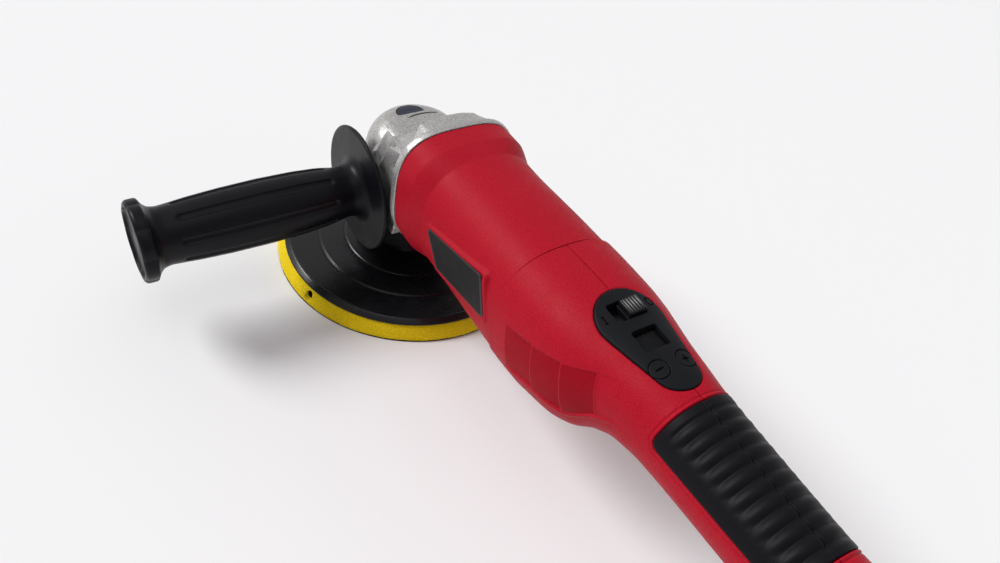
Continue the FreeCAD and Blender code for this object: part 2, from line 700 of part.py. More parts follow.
def vent_cutters(side):
    """Sloped pockets between the ribs, each ending in an air slot against the next rib."""
    ribs = [(-164.5, 38.9), (-185.5, 38.0), (-205.5, 35.6), (-222.5, 30.6)]
    spans = [(79.0, 105.0), (83.0, 110.0), (90.0, 117.0)]
    cutters = []
    for k in range(3):
        y0, x0 = ribs[k]
        y1, x1 = ribs[k + 1]
        low, high = spans[k]
        back = y1 + 1.6
        outline = [(side * (x0 + 6), y0, low), (side * (x0 + 0.4), y0, low), (side * (x1 - 1.6), back, low),
                   (side * (x1 + 9), back, low)]
        cutters.append(prism(outline, (0, 0, high - low)))
        reach = sorted((side * (x1 - 7), side * (x1 + 1)))
        cutters.append(block(reach[0], reach[1], back, back + 2.4, low + 1.5, high - 1.5))
    return cutters


def grip_zone(side, growth=0.0):
    """Space of the rubber overmould on one side of the top seam."""
    y0 = GRIP_REAR_Y - growth
    y1 = GRIP_FRONT_Y + growth
    z0 = GRIP_LOWER_Z - growth
    gap = 0.25 - growth
    r = 6.0
    half = r * math.sin(math.pi / 4)
    x0 = gap if side > 0 else -gap
    edges = [Part.LineSegment(V(x0, y0 + r, z0), V(x0, y1 - r, z0)).toShape(),
             Part.Arc(V(x0, y1 - r, z0), V(x0, y1 - r + half, z0 + r - half), V(x0, y1, z0 + r)).toShape(),
             Part.LineSegment(V(x0, y1, z0 + r), V(x0, y1, 145)).toShape(),
             Part.LineSegment(V(x0, y1, 145), V(x0, y0, 145)).toShape(),
             Part.LineSegment(V(x0, y0, 145), V(x0, y0 + r, z0)).toShape()]
    return Part.Face(Part.Wire(edges)).extrude(V(side * 40, 0, 0))


def rubber_grip(side):
    """Overmould with shallow grooves across it."""
    grip = rear_outside(GRIP_PROUD).cut(rear_outside(-GRIP_SINK)).common(grip_zone(side))
    pitch = 7.0
    width = 2.0
    slices = []
    for k in range(11):
        y = GRIP_FRONT_Y - 6.0 - pitch * k
        slices.append(block(-60, 60, y - width / 2, y + width / 2, GRIP_LOWER_Z + 4, 150))
    grooves = group(slices).common(rear_outside(GRIP_PROUD + 1).cut(rear_outside(-0.35)))
    return grip.cut(grooves)


def shell_screw_places():
    return [(-164.0, 62.0), (-176.0, 119.0), (-262.0, 90.0), (-345.0, 92.0)]


def clamp_block(side):
    """Posts inside the tail that the cord clamp screws to."""
    return block(min(0, side * 13), max(0, side * 13), -366, -352, 88, 99).cut(
        cylinder(1.4, (side * 9, -359, 80), "z", 40))


def handle_shell(side, outside, inside):
    half = block(min(0, side * 60), max(0, side * 60), -400, -100, 0, 160)
    shell = outside.cut(inside.common(block(-60, 60, -374.5, -100, 0, 160))).common(half)
    additions = []
    for y, z in shell_screw_places():
        start = 0 if side > 0 else -40
        additions.append(cylinder(4.0, (start, y, z), "x", 40).common(outside))
    additions.append(clamp_block(side).common(outside))
    shell = shell.fuse(additions)
    for y, z in shell_screw_places():
        shell = shell.cut(cylinder(1.9, (-12, y, z), "x", 60))
        shell = shell.cut(cylinder(3.6, (14, y, z), "x", 60))
    shell = shell.cut(teardrop(FIT, 100, 150))
    shell = shell.cut(vent_cutters(side))
    recess = rear_outside(GRIP_PROUD + 1).cut(rear_outside(-GRIP_SINK)).common(grip_zone(side, FIT * 0.3))
    shell = shell.cut(recess)
    shell = shell.cut(cylinder(7.0, (0, -390, 107), "y", 30))
    return shell


def shell_screws():
    return group([screw(3.3, 2.4, 1.8, 22.0, (14, y, z), (-1, 0, 0)) for y, z in shell_screw_places()])


def control_panel():
    """Black teardrop inlay, following the crowned top of the body."""
    panel = rear_outside(PANEL_PROUD).cut(rear_outside(-2.0)).common(teardrop(0.0, 120, 150))
    w, d, y = SWITCH_SLOT
    panel = panel.cut(rounded_rect(-w / 2, w / 2, y - d / 2, y + d / 2, 120, 150, 1.5))
    w, d, y = WINDOW_SLOT
    panel = panel.cut(rounded_rect(-w / 2, w / 2, y - d / 2, y + d / 2, 120, 150, 1.2))
    for side in (-1, 1):
        panel = panel.cut(cylinder(BUTTON_RADIUS + 0.25, (side * BUTTON_X, BUTTON_Y, 120), "z", 30))
    return panel


def switch_knob():
    """Ribbed slider that rests at the off end and slides across the panel."""
    w, d, y = SWITCH_SLOT
    x1 = w / 2 - 0.6
    x0 = x1 - (w - SWITCH_TRAVEL - 1.2)
    plate = block(x0, x1, y - d / 2 + 0.4, y + d / 2 - 0.4, 130.2, 133.4)
    knob = rounded_rect(x0 + 0.4, x1 - 0.3, y - d / 2 + 0.8, y + d / 2 - 0.8, 133.4, 137.2, 1.0)
    stem = block(x0 + 4, x1 - 4, y - 1.5, y + 1.5, 126.4, 130.2)
    body = fused([plate, knob, stem])
    ribs = []
    count = 5
    pitch = (x1 - x0 - 1.6) / count
    for k in range(count):
        x = x0 + 0.8 + pitch * (k + 0.25)
        ribs.append(block(x, x + pitch * 0.5, y - d / 2, y + d / 2, 136.3, 138))
    return body.cut(group(ribs))


def switch_body():
    """Slide switch under the panel, with the slot its stem runs in."""
    w, d, y = SWITCH_SLOT
    case = block(-13, 13, y - 5, y + 5, 114, 128.0)
    slot = block(-9, 9, y - 1.9, y + 1.9, 124, 128.0)
    return case.cut(slot)


def display_window():
    w, d, y = WINDOW_SLOT
    return rounded_rect(-w / 2 + FIT, w / 2 - FIT, y - d / 2 + FIT, y + d / 2 - FIT, 129.6, 131.2, 1.1)


def display_module():
    """Single digit display under the window."""
    y = WINDOW_SLOT[2]
    case = block(-6, 6, y - 5.5, y + 5.5, BOARD_Z + 1.7, 129.3)
    return case.cut(block(-4, 4, y - 4.2, y + 4.2, 128.6, 129.3))


def control_board():
    return block(-13.5, 13.5, -246, -212, BOARD_Z, BOARD_Z + 1.6)


def speed_button(side):
    """Round push button with a flange under the panel and its sign sunk in the top."""
    x = side * BUTTON_X
    y = BUTTON_Y
    cap = cylinder(BUTTON_RADIUS, (x, y, BOARD_Z + 6.4), "z", BUTTON_TOP - BOARD_Z - 6.4)
    body = fused([cap, cylinder(5.6, (x, y, BOARD_Z + 6.4), "z", 1.2)])
    body = body.cut(block(x - 2.4, x + 2.4, y - 0.35, y + 0.35, BUTTON_TOP - 0.3, BUTTON_TOP + 1))
    if side > 0:
        body = body.cut(block(x - 0.35, x + 0.35, y - 2.4, y + 2.4, BUTTON_TOP - 0.3, BUTTON_TOP + 1))
    return body


def button_spring(side):
    return spring(3.6, 0.25, (side * BUTTON_X, BUTTON_Y, BOARD_Z + 2.0), 4.0, 3, (0, 0, 1))


def lock_spring():
    x, y, z = LOCK_POS
    return spring(3.6, 0.25, (x, y, z - 2.3), 5.2, 3, (0, 0, 1))


def cord_inlet():
    """Rubber grommet where the lead enters the tail."""
    return turned([(4.2, -380), (9, -380), (9, -378.05), (6.9, -378.05), (6.9, -374.4), (9, -374.4),
                   (9, -372.4), (4.2, -372.4)], (0, 0, 107), "y")


def cord_clamp():
    """Saddle over the lead's place in the tail, with its two screws."""
    clamp = fused([block(-12.5, 12.5, -363, -355, 106, 109)]
                  + [block(s * 9 - 3, s * 9 + 3, -363, -355, 99.1, 106) for s in (-1, 1)])
    screws = []
    for s in (-1, 1):
        clamp = clamp.cut(cylinder(1.7, (s * 9, -359, 90), "z", 30))
        screws.append(screw(2.6, 1.8, 1.35, 16.0, (s * 9, -359, 109), (0, 0, -1)))
    return group([clamp] + screws)


# ---------------------------------------------------------------- side handle
def side_handle():
    """Moulded grip with its hand guard, fluted along its length."""
    boss = HANDLE_BOSS_X
    guard = turned([(0, -boss), (GUARD_RADIUS - 0.8, -boss), (GUARD_RADIUS, -boss - 0.8),
                    (GUARD_RADIUS, -boss - GUARD_THICKNESS + 0.6),
                    (GUARD_RADIUS - 0.6, -boss - GUARD_THICKNESS),
                    (0, -boss - GUARD_THICKNESS)], (0, HANDLE_Y, HANDLE_Z), "x")
    face = -boss - GUARD_THICKNESS + 0.5
    outline = [(19.5, face), (17.2, -46.5), (16.0, -50.5), (16.4, -56), (18.2, -66), (19.4, -82),
               (19.9, -104), (19.5, -128), (18.6, -146), (17.6, -158), (17.4, -164), (19.2, -168.5),
               (22.6, -171.2)]
    grip = turned_smooth(outline, [(0, -171.2), (0, face)], (0, HANDLE_Y, HANDLE_Z))
    end = turned([(0, -171.2), (22.6, -171.2), (24.2, -172.4), (24.4, -177), (23.2, -HANDLE_END_X),
                  (20.5, -HANDLE_END_X), (19.5, -177.4), (0, -176.8)], (0, HANDLE_Y, HANDLE_Z), "x")
    flutes = []
    for k in range(8):
        groove = cylinder(1.6, (-150, HANDLE_Y, HANDLE_Z + 20.3), "x", 78)
        groove.rotate(V(0, HANDLE_Y, HANDLE_Z), X_AXIS, 22.5 + 45 * k)
        flutes.append(groove)
    body = fused([guard, grip, end]).cut(group(flutes))
    return body.cut(cylinder(STUD_RADIUS, (-76, HANDLE_Y, HANDLE_Z), "x", 40))


def handle_stud():
    return cylinder(STUD_RADIUS, (-76, HANDLE_Y, HANDLE_Z), "x", 76 - 33.0)


# ---------------------------------------------------------------- build
def build():
    rear = rear_outside()
    rear_inside = rear_outside(-WALL)
    front_outer, front_inner = ball_bearing(14, 6, 8, 8, (0, -38, MOTOR_Z), "y")
    rear_outer, rear_inner = ball_bearing(11, 4, 7, 7, (0, -156, MOTOR_Z), "y")
    main_outer, main_inner = ball_bearing(17.5, 7.5, 10.9, 9, (0, SPINDLE_Y, 55.05), "z")
    pad_outer, pad_inner = ball_bearing(14, 6, 12, 8, (0, 0, 28.3), "z")
    return {
        "hook_layer": hook_layer(),
        "foam_layer": foam_layer(),
        "backing_plate": backing_plate(),
        "pad_stud": stud_insert(),
        "pad_spindle": pad_spindle(),
        "pad_journal_screw": pad_journal_screw(),
        "pad_bearing_inner": pad_inner,
        "pad_bearing_outer": pad_outer,
        "eccentric": eccentric(),
        "counterweight": counterweight(),
        "spindle": spindle(),
        "spindle_nut": spindle_nut(),
        "bevel_gear": bevel_gear(),
        "spindle_bearing_inner": main_inner,
        "spindle_bearing_outer": main_outer,
        "needle_bearing": ring(7, 5 + RUNNING, (0, SPINDLE_Y, 90.4), "z", 8.0),
        "spindle_cover": spindle_cover(),
        "cover_screws": cover_screws(),
        "drive_skirt": drive_skirt(),
        "gear_housing": gear_housing(),
        "lock_button": lock_button(),
        "lock_spring": lock_spring(),
        "bearing_retainer": bearing_retainer(),
        "front_bearing_outer": front_outer,
        "front_bearing_inner": front_inner,
        "bevel_pinion": bevel_pinion(),
        "armature_shaft": armature_shaft(),
        "armature_core": armature_core(),
        "armature_winding": armature_winding(),
        "commutator": commutator(),
        "fan": fan(),
        "rear_bearing_inner": rear_inner,
        "rear_bearing_outer": rear_outer,
        "stator_core": stator_core(),
        "stator_winding": stator_winding(),
        "stator_screws": stator_screws(),
        "brush_holders": brush_holders(),
        "brush_sets": brush_sets(),
        "motor_housing": motor_housing(),
        "housing_screws": housing_screws(),
        "name_plate": side_plate(-1),
        "handle_shell_left": handle_shell(-1, rear, rear_inside),
        "handle_shell_right": handle_shell(1, rear, rear_inside),
        "shell_screws": shell_screws(),
        "grip_left": rubber_grip(-1),
        "grip_right": rubber_grip(1),
        "control_panel": control_panel(),
        "switch_knob": switch_knob(),
        "switch_body": switch_body(),
        "display_window": display_window(),
        "display_module": display_module(),
        "control_board": control_board(),
        "minus_button": speed_button(-1),
        "plus_button": speed_button(1),
        "minus_spring": button_spring(-1),
        "plus_spring": button_spring(1),
        "cord_inlet": cord_inlet(),
        "cord_clamp": cord_clamp(),
        "side_handle": side_handle(),
        "handle_stud": handle_stud(),
    }


def main():
    os.makedirs("parts", exist_ok=True)
    for name, shape in build().items():
        shape.exportStep(os.path.join("parts", name + ".step"))
        print(f"{name}: {len(shape.Solids)} solid(s), {shape.Volume / 1000:.2f} cm3, valid {shape.isValid()}")


main()
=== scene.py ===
"""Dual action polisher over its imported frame: moulded body, rubber grips, cast head, side handle and pad.

Lengths in the shape functions are millimetres in the frame's own axes; meshes are written in metres.
"""
import bmesh
import bpy
import json
import math
import numpy as np
from mathutils import Matrix, Vector


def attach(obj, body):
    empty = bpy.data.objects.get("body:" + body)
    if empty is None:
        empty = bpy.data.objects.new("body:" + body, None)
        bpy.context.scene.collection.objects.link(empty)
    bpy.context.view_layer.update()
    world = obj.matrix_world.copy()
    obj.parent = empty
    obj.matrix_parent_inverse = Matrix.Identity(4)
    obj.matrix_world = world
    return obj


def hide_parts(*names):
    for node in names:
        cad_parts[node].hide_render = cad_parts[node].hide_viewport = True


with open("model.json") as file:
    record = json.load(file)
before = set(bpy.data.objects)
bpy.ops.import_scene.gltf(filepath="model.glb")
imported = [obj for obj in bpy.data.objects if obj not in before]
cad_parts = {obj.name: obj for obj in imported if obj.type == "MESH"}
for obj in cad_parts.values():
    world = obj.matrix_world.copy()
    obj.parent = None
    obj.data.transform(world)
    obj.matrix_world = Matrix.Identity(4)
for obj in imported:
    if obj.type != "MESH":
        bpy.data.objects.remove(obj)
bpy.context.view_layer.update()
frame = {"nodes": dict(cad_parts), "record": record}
MM = 0.001

# ---------------------------------------------------------------- driving dimensions
WALL = 2.2
SEAM_GAP = 0.27                 # half of the dark line between two shells
EDGE = 0.45                     # rounding of a moulded edge

HEAD_FLANGE_Y = -44.4
SEAM_Y = -152.0
TAIL_Y = -378.0
MOTOR_Z = 92.0

SPINDLE = (0, 4.0, 0)
HANDLE_Z = 65.0
HANDLE_END_X = -179.0
STUD_RADIUS = 4.05
LOCK_CENTRE = (0, 18.0)

PANEL_FRONT = (-207.0, 18.4)    # y and radius of the panel's front and rear circles
PANEL_REAR = (-240.0, 12.0)
PANEL_CENTRE = (0, -216.0)
PANEL_PROUD = 0.5
PANEL_GAP = 0.28
SWITCH_SLOT = (18.0, 11.5, -202.0)      # width, length and y of the middle
WINDOW_SLOT = (15.0, 12.5, -221.0)
BUTTON_X = 7.8
BUTTON_Y = -237.0
BUTTON_RADIUS = 4.8

GRIP_SPAN = (-340.0, -259.0)
GRIP_LOWER_Z = 113.5
GRIP_CORNER = 4.6
GRIP_PITCH = 7.0
GRIP_WAVE = 1.25                # depth of the rubber's waves

# sections of the body: y, half width, top, bottom and the exponent of the superellipse
COLLAR_STATIONS = [
    (-44.4, 39.5, 131.5, 52.0, 3.1),
    (-59.2, 39.4, 131.5, 52.0, 3.1),
    (-60.0, 39.3, 131.4, 52.0, 3.08),
    (-71.2, 37.2, 130.3, 52.0, 2.52),
    (-72.0, 37.1, 130.25, 52.0, 2.48),
    (-90.0, 37.1, 130.5, 52.0, 2.42),
    (-110.0, 37.4, 131.3, 51.8, 2.45),
    (-130.0, 37.7, 131.9, 51.6, 2.5),
    (-152.0, 38.0, 132.4, 51.5, 2.5),
    (-160.0, 38.1, 132.5, 51.5, 2.5),
]
REAR_STATIONS = [
    (-150.0, 39.0, 132.8, 52.5, 2.6),
    (-152.0, 39.0, 132.8, 52.5, 2.6),
    (-163.0, 39.2, 133.4, 52.6, 2.55),
    (-175.0, 39.0, 134.0, 53.0, 2.5),
    (-190.0, 38.3, 134.3, 56.0, 2.45),
    (-201.0, 37.0, 134.3, 57.8, 2.4),
    (-213.0, 34.2, 133.9, 63.0, 2.35),
    (-227.0, 29.2, 133.5, 75.5, 2.35),
    (-240.0, 26.5, 133.2, 82.0, 2.3),
    (-258.0, 24.7, 132.5, 83.8, 2.15),
    (-285.0, 23.9, 131.2, 84.6, 2.1),
    (-312.0, 23.2, 130.0, 85.0, 2.1),
    (-340.0, 22.4, 129.6, 85.3, 2.1),
    (-362.0, 23.0, 129.9, 84.6, 2.2),
    (-378.0, 23.6, 130.2, 84.2, 2.2),
]


# ---------------------------------------------------------------- curves and profiles
def smooth_curve(knots, values, at):
    """Monotone cubic through the values; knots rise."""
    x = np.asarray(knots, float)
    y = np.asarray(values, float)
    step = np.diff(x)
    rise = np.diff(y) / step
    slope = np.empty_like(x)
    both = rise[:-1] * rise[1:]
    total = rise[:-1] + rise[1:]
    safe = np.where(np.abs(total) > 1e-12, total, 1.0)
    slope[1:-1] = np.where(both > 0, 2 * both / safe, 0.0)
    slope[0] = rise[0]
    slope[-1] = rise[-1]
    q = np.clip(np.asarray(at, float), x[0], x[-1])
    k = np.clip(np.searchsorted(x, q) - 1, 0, len(x) - 2)
    t = (q - x[k]) / step[k]
    t2 = t * t
    t3 = t2 * t
    return ((2 * t3 - 3 * t2 + 1) * y[k] + (t3 - 2 * t2 + t) * step[k] * slope[k]
            + (3 * t2 - 2 * t3) * y[k + 1] + (t3 - t2) * step[k] * slope[k + 1])


def smoothstep(low, high, value):
    t = np.clip((value - low) / (high - low), 0.0, 1.0)
    return t * t * (3 - 2 * t)


def rounded_drop(distance, radius):
    """How far a surface falls at a distance from its edge that is rounded with a radius."""
    t = np.clip(1 - distance / radius, 0.0, 1.0)
    return radius * (1 - np.sqrt(1 - t * t))


def curve_through(points, at):
    """Smooth curve through (position, value) points whose positions rise."""
    knots, values = zip(*points)
    return smooth_curve(knots, values, at)


def full_turn(segments):
    return np.linspace(0, 2 * math.pi, segments, endpoint=False)


def angle_apart(angle, centre):
    """Signed angle from a centre, between minus and plus half a turn."""
    return (angle - centre + math.pi) % (2 * math.pi) - math.pi


def body_size(stations, y):
    """Half width, top, bottom and exponent of the body at y."""
    along, *measures = np.array(stations).T
    return [smooth_curve(-along, measure, -np.asarray(y, float)) for measure in measures]


def body_point(stations, y, angle, growth=0.0):
    """x and z on the body's section at y, in the direction of angle, grown outwards."""
    a, top, bottom, power = body_size(stations, y)
    b = (top - bottom) / 2
    c = np.cos(angle)
    s = np.sin(angle)
    radius = ((np.abs(c) / (a + growth)) ** power + (np.abs(s) / (b + growth)) ** power) ** (-1 / power)
    return radius * c, (top + bottom) / 2 + radius * s


def body_top(stations, x, y, growth=0.0):
    """Height of the body's upper surface over the point (x, y)."""
    a, top, bottom, power = body_size(stations, y)
    b = (top - bottom) / 2 + growth
    reach = np.clip(1 - (np.abs(x) / (a + growth)) ** power, 0.0, 1.0)
    return (top + bottom) / 2 + b * reach ** (1 / power)


def corner_distance(past_u, past_v, radius):
    """Signed distance to a rounded corner, from how far a point is past the arc's centre both ways."""
    outside = np.hypot(np.maximum(past_u, 0), np.maximum(past_v, 0))
    return outside + np.minimum(np.maximum(past_u, past_v), 0) - radius


def box_distance(x, y, half_x, half_y, radius):
    """Signed distance to a rounded rectangle centred on the origin."""
    return corner_distance(np.abs(x) - half_x + radius, np.abs(y) - half_y + radius, radius)


def teardrop_distance(x, y):
    """Signed distance to the control panel's outline, two circles and their tangents."""
    y1, r1 = PANEL_FRONT
    y2, r2 = PANEL_REAR
    length = y1 - y2
    lean = (r1 - r2) / length
    rise = math.sqrt(1 - lean * lean)
    px = np.abs(x)
    py = y1 - y
    k = -px * lean + py * rise
    side = px * rise + py * lean - r1
    rear = np.where(k > length * rise, np.hypot(px, py - length) - r2, side)
    return np.where(k < 0, np.hypot(px, py) - r1, rear)


def grip_distance(y, z):
    """Signed distance to the rubber grip's outline on one side; open at the top."""
    low, high = GRIP_SPAN
    past_end = np.abs(y - (low + high) / 2) - (high - low) / 2 + GRIP_CORNER
    return corner_distance(past_end, GRIP_LOWER_Z - z + GRIP_CORNER, GRIP_CORNER)


# ---------------------------------------------------------------- mesh helpers
def add_object(name, mesh):
    obj = bpy.data.objects.new(name, mesh)
    bpy.context.scene.collection.objects.link(obj)
    return obj


def set_smooth(obj, sharp_degrees=None):
    mesh = obj.data
    mesh.polygons.foreach_set("use_smooth", [True] * len(mesh.polygons))
    if sharp_degrees is not None:
        mesh.set_sharp_from_angle(angle=math.radians(sharp_degrees))
    mesh.update()


def mesh_object(name, points, faces, sharp_degrees=None):
    """Object from points in millimetres; normals made to face outwards."""
    mesh = bpy.data.meshes.new(name)
    mesh.from_pydata([tuple(p) for p in np.asarray(points) * MM], [], [tuple(f) for f in faces])
    work = bmesh.new()
    work.from_mesh(mesh)
    bmesh.ops.recalc_face_normals(work, faces=work.faces)
    work.to_mesh(mesh)
    work.free()
    obj = add_object(name, mesh)
    set_smooth(obj, sharp_degrees)
    return obj


def grid_faces(rows, columns, closed=False, start=0):
    i, j = np.meshgrid(np.arange(rows - 1), np.arange(columns if closed else columns - 1), indexing="ij")
    following = (j + 1) % columns
    quads = np.stack([i * columns + j, i * columns + following, (i + 1) * columns + following,
                      (i + 1) * columns + j], -1).reshape(-1, 4) + start
    return quads.tolist()


def fanned_piece(name, grid, first_tip, last_tip, sharp_degrees):
    """Closed piece from closed rows of points, with a fan to a tip at each end."""
    rows, segments = grid.shape[:2]
    faces = grid_faces(rows, segments, True)
    tip = rows * segments
    last = tip - segments
    faces += [[tip, (j + 1) % segments, j] for j in range(segments)]
    faces += [[tip + 1, last + j, last + (j + 1) % segments] for j in range(segments)]
    return mesh_object(name, np.concatenate([grid.reshape(-1, 3), [first_tip, last_tip]]), faces, sharp_degrees)


def closed_ring(name, loops, sharp_degrees=40):
    """Ring through closed loops of points, the last loop joined to the first."""
    loops = np.array(loops)
    count, segments = loops.shape[:2]
    faces = [[v % (count * segments) for v in f] for f in grid_faces(count + 1, segments, True)]
    return mesh_object(name, loops.reshape(-1, 3), faces, sharp_degrees)


def hull_piece(name, sections):
    """Closed piece through flat sections that have the same number of points."""
    count = len(sections[0])
    last = (len(sections) - 1) * count
    faces = grid_faces(len(sections), count, True)
    faces += [list(range(count)), [last + j for j in range(count)][::-1]]
    return mesh_object(name, np.array(sections, float).reshape(-1, 3), faces)


def outline_prism(name, outline, low, high):
    """Upright prism over an outline of (x, y) points."""
    return hull_piece(name, [[(x, y, z) for x, y in outline] for z in (low, high)])


def box_prism(name, x_span, y_span, z_span):
    (x0, x1), (y0, y1) = x_span, y_span
    return outline_prism(name, [(x0, y0), (x1, y0), (x1, y1), (x0, y1)], *z_span)


def shell_object(name, outer, inner, stride, closed=False):
    """Closed shell from a fine outer grid and a coarse inner grid that has every stride-th row and column."""
    rows, columns = outer.shape[:2]
    inner_rows, inner_columns = inner.shape[:2]
    faces = grid_faces(rows, columns, closed)
    base = rows * columns
    faces += [f[::-1] for f in grid_faces(inner_rows, inner_columns, closed, base)]

    def bridge(outer_ids, inner_ids):
        for k in range(len(inner_ids) - 1):
            chain = outer_ids[k * stride:(k + 1) * stride + 1]
            faces.append(list(chain) + [inner_ids[k + 1], inner_ids[k]])

    for row, inner_row in ((0, 0), (rows - 1, inner_rows - 1)):
        outer_ids = [row * columns + j for j in range(columns)]
        inner_ids = [base + inner_row * inner_columns + j for j in range(inner_columns)]
        if closed:
            outer_ids.append(outer_ids[0])
            inner_ids.append(inner_ids[0])
        bridge(outer_ids, inner_ids)
    if not closed:
        for column, inner_column in ((0, 0), (columns - 1, inner_columns - 1)):
            bridge([i * columns + column for i in range(rows)],
                   [base + i * inner_columns + inner_column for i in range(inner_rows)])
    points = np.concatenate([outer.reshape(-1, 3), inner.reshape(-1, 3)])
    return mesh_object(name, points, faces)


def spaced(marks):
    """Values from a list of (position, step from here on); the last one only ends the list."""
    values = []
    for (start, step), (end, _) in zip(marks[:-1], marks[1:]):
        count = max(1, int(round(abs(end - start) / step)))
        values += list(np.linspace(start, end, count, endpoint=False))
    return np.array(values + [marks[-1][0]])


def padded_to(values, stride):
    """Adds evenly split values at the end so that the count less one divides by the stride."""
    missing = (-(len(values) - 1)) % stride
    if missing:
        tail = np.linspace(values[-2], values[-1], missing + 2)
        values = np.concatenate([values[:-1], tail[1:]])
    return values


def turned_grid(profile, axis, centre, segments, shape=None):
    """Rows of points from a profile of (radius, along) turned about an axis; shape adds to the radius."""
    turn = full_turn(segments)
    radius = np.repeat(profile[:, :1], segments, 1)
    along = np.repeat(profile[:, 1:], segments, 1)
    if shape is not None:
        radius = radius + shape(radius, along, turn[None, :])
    u = radius * np.cos(turn)
    v = radius * np.sin(turn)
    place = {"x": (along, u, v), "y": (v, along, u), "z": (u, v, along)}[axis]
    return np.stack(place, -1) + np.array(centre)


def revolved(name, profile, axis, centre, segments=160, shape=None, sharp_degrees=35):
    """Closed solid of revolution; the profile is (radius, along) from axis to axis."""
    profile = np.asarray(profile, float)
    tips = np.array([centre, centre], float)
    tips[:, "xyz".index(axis)] += profile[[0, -1], 1]
    return fanned_piece(name, turned_grid(profile[1:-1], axis, centre, segments, shape), *tips, sharp_degrees)


def ring_piece(name, corners, axis, centre, segments):
    """Closed ring of revolution through (radius, along, rounding) corners."""
    return closed_ring(name, turned_grid(rounded_profile(corners + corners[:1])[:-1], axis, centre, segments))


def rounded_profile(corners, steps=5):
    """Profile through (radius, along, rounding) corners, each rounded by an arc-like curve."""
    points = []
    for k, (r, h, rounding) in enumerate(corners):
        here = np.array([r, h], float)
        if rounding <= 0 or k in (0, len(corners) - 1):
            points.append(here)
            continue
        before = np.array(corners[k - 1][:2], float) - here
        after = np.array(corners[k + 1][:2], float) - here
        reach_before = min(rounding, np.linalg.norm(before) * 0.49)
        reach_after = min(rounding, np.linalg.norm(after) * 0.49)
        start = here + before / np.linalg.norm(before) * reach_before
        end = here + after / np.linalg.norm(after) * reach_after
        for t in np.linspace(0, 1, steps):
            points.append((1 - t) ** 2 * start + 2 * t * (1 - t) * here + t * t * end)
    return np.array(points)


def dense_profile(profile, step):
    """The same outline with points no further apart than a step."""
    points = [profile[0]]
    for start, end in zip(profile[:-1], profile[1:]):
        count = max(1, int(np.ceil(np.linalg.norm(end - start) / step)))
        for k in range(1, count + 1):
            points.append(start + (end - start) * k / count)
    return np.array(points)


def finish_piece(obj, body, material, slot, *nodes):
    obj.data.materials.clear()
    obj.data.materials.append(material)
    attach(obj, body)
    if nodes:
        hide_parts(*nodes)


def star_boundary(distance, centre, segments, reach):
    """Distance along each ray from the centre to the outline where the signed distance is nought."""
    turn = full_turn(segments)
    low = np.zeros(segments)
    high = np.full(segments, float(reach))
    for _ in range(40):
        middle = (low + high) / 2
        inside = distance(centre[0] + middle * np.cos(turn), centre[1] + middle * np.sin(turn)) < 0
        low = np.where(inside, middle, low)
        high = np.where(inside, high, middle)
    return turn, low


def star_outline(distance, centre, segments, reach, growth=0.0):
    """Points of that outline, moved outwards by a growth."""
    turn, radius = star_boundary(distance, centre, segments, reach)
    radius = radius + growth
    return list(zip(centre[0] + radius * np.cos(turn), centre[1] + radius * np.sin(turn)))


def capped_piece(name, distance, centre, top, bottom, segments=240, step=0.5, reach=60.0, sharp_degrees=50):
    """Upright closed piece with an outline, a top surface and a flat bottom; rings crowd towards its edge."""
    turn, radius = star_boundary(distance, centre, segments, reach)
    inner = np.maximum(radius - 1.0, radius * 0.5)
    loops = [np.maximum(radius - depth, inner) for depth in (0.0, 0.04, 0.1, 0.18, 0.28, 0.4, 0.55, 0.75)]
    count = max(3, int(radius.max() / step))
    loops += [inner * (1 - k / count) for k in range(count)]
    grid = []
    for loop in loops:
        x = centre[0] + loop * np.cos(turn)
        y = centre[1] + loop * np.sin(turn)
        grid.append(np.stack([x, y, top(x, y, distance(x, y))], -1))
    wall = grid[0].copy()
    wall[:, 2] = bottom
    middle = [np.array([float(value)]) for value in centre]
    peak = top(*middle, distance(*middle))[0]
    return fanned_piece(name, np.array([wall] + grid), (*centre, bottom), (*centre, peak), sharp_degrees)


def carve(obj, *cutters):
    """Cuts closed pieces out of a piece and removes them; the cut faces take its first material."""
    for cutter in cutters:
        for material in obj.data.materials[:1]:
            cutter.data.materials.append(material)
        modifier = obj.modifiers.new("carve", "BOOLEAN")
        modifier.operation = "DIFFERENCE"
        modifier.solver = "MANIFOLD"
        modifier.object = cutter
        apply_modifiers(obj)
        bpy.data.objects.remove(cutter, do_unlink=True)


def apply_modifiers(obj):
    """Replaces the piece's mesh by what its modifiers make of it."""
    bpy.context.view_layer.update()
    graph = bpy.context.evaluated_depsgraph_get()
    result = bpy.data.meshes.new_from_object(obj.evaluated_get(graph), depsgraph=graph)
    obj.modifiers.clear()
    old = obj.data
    obj.data = result
    bpy.data.meshes.remove(old)


def joined(name, objects):
    """One object from the meshes of several."""
    work = bmesh.new()
    for obj in objects:
        work.from_mesh(obj.data)
    mesh = bpy.data.meshes.new(name)
    work.to_mesh(mesh)
    work.free()
    for obj in objects:
        bpy.data.objects.remove(obj, do_unlink=True)
    return add_object(name, mesh)


def loft_piece(name, stations, segments=160):
    """Closed straight loft through body sections."""
    cosine = np.cos(full_turn(segments))
    sine = np.sin(full_turn(segments))
    rows = []
    for y, a, top, bottom, power in stations:
        x = np.sign(cosine) * a * np.abs(cosine) ** (2 / power)
        z = (top + bottom) / 2 + np.sign(sine) * (top - bottom) / 2 * np.abs(sine) ** (2 / power)
        rows.append(np.stack([x, np.full(segments, y), z], -1))
    return hull_piece(name, rows)


def cylinder_piece(name, radius, start, end, axis, centre, segments=96):
    profile = [(0, start), (radius, start), (radius, end), (0, end)]
    return revolved(name, profile, axis, centre, segments)


